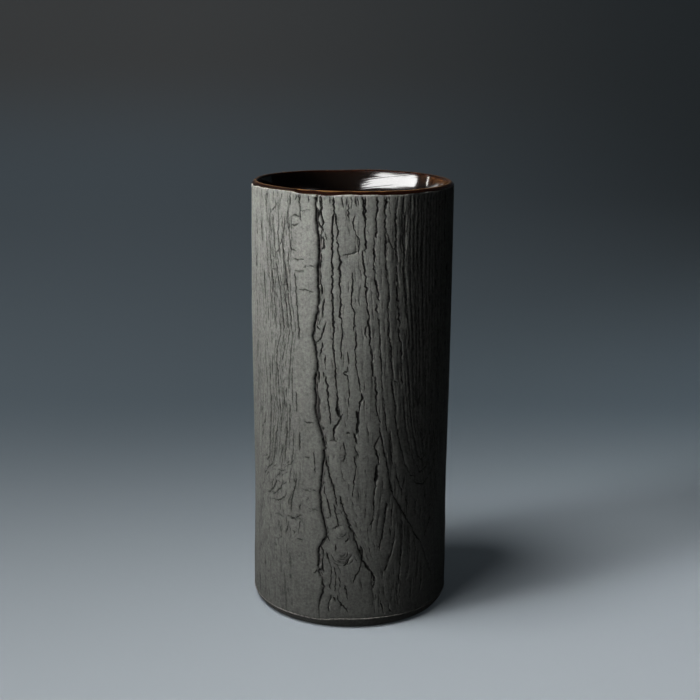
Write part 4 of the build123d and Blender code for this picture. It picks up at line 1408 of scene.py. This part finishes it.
class VASE_OT_wall(bpy.types.Operator):
    """Makes the cracked, grained wall with its lapped seam and bevelled lip"""

    bl_idname = "vase.wall"
    bl_label = "Make the wall"

    def execute(self, context):
        """Makes the wall's rows a mesh, and stores on it what the clay's material reads."""
        sizes, colours = context.scene.vase_sizes, context.scene.vase_colours
        relief = make_relief(sizes)
        mesh = thinned(grid_mesh("wall", wall_points(relief)), sizes.most_triangles)
        x, y, up = places_of(mesh).T
        around = how_far_round(x, y)
        outside = np.hypot(x, y) > crest_radius + 0.1
        near_lip = held(1 - np.abs(up - lip_edge(around) - 0.1) / 0.5)
        put_values(
            mesh,
            grain_place=place(grain_start(around, up), up, rim_radius) / 1000,
            # Painted shade in the cracks, the crease and the shallow lines, taken from the relief
            groove=np.where(outside, looked_up(relief["groove"], around, up), 0),
            tone=np.where(outside, looked_up(relief["tone"], around, up), 0.5),
            hairlines=np.where(outside, hairline_share(around, up), 0),
            # Pale line below the lip: partly rubbed clay, partly a painted highlight
            bare_edge=np.where(outside, near_lip, 0))
        piece = finished("vase_wall", mesh, clay_material(colours), "black_clay", "wall_slab")
        piece.data.set_sharp_from_angle(angle=radians(38))
        return {"FINISHED"}


class VASE_OT_foot(bpy.types.Operator):
    """Makes the foot: the base slab with its bevelled edge and the slip worked in above it"""

    bl_idname = "vase.foot"
    bl_label = "Make the foot"

    def execute(self, context):
        """Rows from under the middle out, up the bevel, over the crisp edge and back to the middle."""
        rng = np.random.default_rng(7)
        around = evenly_round(foot_columns)
        edge = foot_edge(around)
        waves = random_waves(rng, around, 0.07, range(2, 12))
        foot_radius = rim_radius + foot_swell
        low = foot_radius - foot_bevel
        rows = [place(around, 0, radius) for radius in (12.0, 30.0, 44.0, low - 0.9, low - 0.25)]
        for share in np.linspace(0.02, 1, 12):
            bulge = foot_bulge * np.sin(pi * share) + waves * 0.6 * np.sin(pi * share)
            rows.append(place(around, (edge - 0.45) * share, low + foot_bevel * share - 0.1 + bulge))
        for out, drop in foot_edge_rows:
            rows.append(place(around, edge - drop + 0.03, foot_radius + out + 0.3 * waves))
        rows += [place(around, edge, radius) for radius in (48.0, 46.2)]
        rows += [place(around, base_top, radius) for radius in (45.2, 30.0, 12.0)]
        mesh = grid_mesh("foot", np.stack(rows), False, (0, 0, 0), (0, 0, base_top))
        at = places_of(mesh)
        x, y, up = at.T
        under_edge = foot_edge(how_far_round(x, y)) - up
        under_bevel_shade = held((under_edge - 0.25) / 0.3)
        outer = held((np.hypot(x, y) - 49.2) / 0.5)
        # Painted shade: the bevel under the foot's edge is darkened and its tone lowered, where it faces
        # down away from the lamps
        put_values(
            mesh, grain_place=at / 1000 * np.array((1, 1, 6)), groove=0.6 * under_bevel_shade, tone=0.6 - 0.3 * under_bevel_shade,
            # Pale line on the foot's edge: partly rubbed clay, partly a painted highlight
            bare_edge=outer * held(1.2 - under_edge / 0.45))
        clay = clay_material(context.scene.vase_colours)
        finished("vase_foot", mesh, clay, "black_clay", "base_slab", "foot_slip")
        return {"FINISHED"}


class VASE_OT_seam(bpy.types.Operator):
    """Makes the slip that shows in the open seam"""

    bl_idname = "vase.seam"
    bl_label = "Make the seam's slip"

    def execute(self, context):
        """A bead of eight sides along the seam, whose width and rise come and go."""
        rng = np.random.default_rng(12)
        up = np.linspace(bead_bottom, bead_top, bead_rows)
        rough = wandering(rng, up, 1.4, 0, 1)
        slow = wandering(rng, up, 7.0, 0, 1)
        torn = bell(up, bead_torn_at, bead_torn_reach)
        middle = line_at(seam_line, up) + bead_shift + 0.1 * rough
        radius = rim_radius + swell_at(up) - bead_depth + 0.1 * rough + 0.1 * slow
        radius += torn * (bead_torn_lift + 0.3 * rough)
        half = bead_half_width + 0.08 * rough + 0.3 * torn
        ends = np.clip(np.minimum(up - up[0], up[-1] - up) / 3, 0.05, 1)
        turn = np.linspace(0, 2 * pi, 8, endpoint=False)
        across = middle[:, None] + (half * ends)[:, None] * np.cos(turn)[None]
        out = radius[:, None] + (bead_half_rise * ends)[:, None] * np.sin(turn)[None]
        points = place(across, up[:, None], out)[:, ::-1]
        low_end = place(middle[0], up[0] - 0.2, radius[0])
        high_end = place(middle[-1], up[-1] + 0.2, radius[-1])
        mesh = grid_mesh("slip", points, False, low_end, high_end)
        finished("seam_slip", mesh, slip_material(context.scene.vase_colours), "clay_slip", "lap_slip")
        return {"FINISHED"}


class VASE_OT_lip(bpy.types.Operator):
    """Makes the thin glaze over the lip, which breaks to gold on the crest"""

    bl_idname = "vase.lip"
    bl_label = "Make the lip's glaze"

    def execute(self, context):
        """Rows under the coat from inside out, over its blunt end, and back over the bevel and crest."""
        colours = context.scene.vase_colours
        around = evenly_round(lip_columns)
        rng = np.random.default_rng(5)
        end_share = coat_end + random_waves(rng, around, coat_waver, range(3, 40))
        cells = np.arange(round_cells) * round_cell
        clay_height = looked_up(make_relief(context.scene.vase_sizes)["smooth"], cells, 214.3)
        edge_radius = rim_radius + np.interp(around, cells, np.clip(clay_height, -0.4, 0.9), period=girth)
        edge_up = lip_edge(around)
        crest_up = clay_top - crest_dip(around)
        lean = np.arctan2(crest_up - edge_up, edge_radius - crest_radius)

        def on_bevel(share, lift):
            """A row on the bevel, a share of the way down it, raised square to it."""
            radius = crest_radius + (edge_radius - crest_radius) * share + lift * np.sin(lean)
            return place(around, crest_up + (edge_up - crest_up) * share + lift * np.cos(lean), radius)

        rows = list(turned(lip_profile(-0.05, 5), around))
        rows += [on_bevel(share, -0.05) for share in (0.02, 0.5, end_share)]
        thin = [thin_share] * len(rows)
        for back, lift, gold in coat_rows:
            rows.append(on_bevel(end_share - back, lift))
            thin.append(gold)
        rows.append(place(around, crest_up + glaze_thickness - 0.02, crest_radius - 0.1))
        rows += list(turned(lip_profile(glaze_thickness, 9)[::-1], around))
        thin += crest_gold
        mesh = grid_mesh("lip", np.stack(rows)[::-1])
        put_values(mesh, thinness=np.repeat(thin[::-1], lip_columns))
        glaze = glaze_material("Lip Glaze", colours.lip, colours.gold, 0.00005, 700.0, 0.05)
        finished("lip_coat", mesh, glaze, "lip_glaze", "lip_glaze")
        return {"FINISHED"}


class VASE_OT_lining(bpy.types.Operator):
    """Makes the glossy lining, up the wall and over the floor"""

    bl_idname = "vase.lining"
    bl_label = "Make the lining"

    def execute(self, context):
        """Rows up the back of the coat and down its face; the face ripples where the slab does."""
        colours = context.scene.vase_colours
        around = evenly_round(lining_columns)
        back = np.concatenate((
            coil_profile(0.0, 8), upright(inner_radius, (30, 90, 150)), thinning_profile(0.0, 7)))
        heights = np.concatenate((np.linspace(14, 190, 60), np.linspace(192, thinning_start, 24)[:-1]))
        face = np.concatenate((
            coil_profile(glaze_thickness, 10), upright(inner_radius - glaze_thickness, heights),
            thinning_profile(glaze_thickness, 90)))
        radius, up = face.T[:, :, None]
        rng = np.random.default_rng(3)
        inner = radius + lining_ripple(rng, up, around[None], context.scene.vase_sizes.ripple * 1000)
        face_points = place(around[None], with_dip(up, around[None]), inner)
        mesh = grid_mesh("lining", np.concatenate((turned(back, around), face_points[::-1])))
        x, y, up = places_of(mesh).T
        near_lip = held((up - amber_from) / amber_rise) ** 1.5
        amber = bell(np.arctan2(x, -y), amber_turn, amber_reach)
        put_values(mesh, thinness=near_lip * (0.03 + 0.95 * amber))
        glaze = glaze_material("Lining Glaze", colours.glaze, colours.amber, 0.00004, 120.0, 0.35)
        finished("wall_coat", mesh, glaze, "dark_glaze", "wall_glaze")

        floor_radius = inner_radius - coil_size
        top = base_top + glaze_thickness
        rings = np.array((*pool_rings, floor_radius))
        pool = pool_waver * np.sin(rings[:, None] / 3.1) * np.cos(around[None] / rim_radius * 3)
        pool[-1] = 0
        under = [place(around, base_top, ring) for ring in (3.0, 20.0, floor_radius)]
        over = [place(around, top + rise, ring) for ring, rise in zip(rings[::-1], pool[::-1])]
        mesh = grid_mesh("floor", np.stack(under + over), False, (0, 0, base_top), (0, 0, top))
        put_values(mesh, thinness=np.zeros(len(mesh.vertices)))
        finished("floor_coat", mesh, glaze, "dark_glaze", "floor_glaze")
        return {"FINISHED"}


class VASE_OT_coil(bpy.types.Operator):
    """Gives the coil in the inside corner its clay"""

    bl_idname = "vase.coil"
    bl_label = "Dress the corner coil"

    def execute(self, context):
        """The solid keeps its shape and gets the plain clay."""
        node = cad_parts["corner_coil"]
        node.data.materials.clear()
        node.data.materials.append(plain_clay_material(context.scene.vase_colours))
        return {"FINISHED"}


class VASE_OT_stage(bpy.types.Operator):
    """Sets up the floor and its backdrop, the soft lamps and the camera"""

    bl_idname = "vase.stage"
    bl_label = "Set the stage"

    def execute(self, context):
        """Adds the floor, the lamps and the camera, and shows colours as they are."""
        add_floor(context.scene.vase_colours)
        add_lamps(context.scene)
        add_camera(context.scene)
        context.scene.view_settings.view_transform = "Standard"
        return {"FINISHED"}


class VASE_PT_panel(bpy.types.Panel):
    """Lists the vase's pieces, sizes and colours"""

    bl_label = "Slab Vase"
    bl_space_type = "VIEW_3D"
    bl_region_type = "UI"
    bl_category = "Slab Vase"

    def draw(self, context):
        """One button a piece, then every size and colour."""
        for operator in makers:
            self.layout.operator(operator.bl_idname)
        for group in (context.scene.vase_sizes, context.scene.vase_colours):
            for name in group.bl_rna.properties.keys():
                if name not in ("rna_type", "name"):
                    self.layout.prop(group, name)


makers = (VASE_OT_wall, VASE_OT_foot, VASE_OT_seam, VASE_OT_lip, VASE_OT_lining, VASE_OT_coil, VASE_OT_stage)
classes = (VaseSizes, VaseColours, *makers, VASE_PT_panel)


def register():
    """Makes the operators, the panel and the scene's settings known."""
    for cls in classes:
        bpy.utils.register_class(cls)
    bpy.types.Scene.vase_sizes = bpy.props.PointerProperty(type=VaseSizes)
    bpy.types.Scene.vase_colours = bpy.props.PointerProperty(type=VaseColours)


def unregister():
    """Takes them away again."""
    del bpy.types.Scene.vase_colours
    del bpy.types.Scene.vase_sizes
    for cls in reversed(classes):
        bpy.utils.unregister_class(cls)


def main():
    """Makes every piece and the stage."""
    register()
    bpy.ops.vase.wall()
    bpy.ops.vase.foot()
    bpy.ops.vase.seam()
    bpy.ops.vase.lip()
    bpy.ops.vase.lining()
    bpy.ops.vase.coil()
    bpy.ops.vase.stage()


if __name__ == "__main__":
    main()
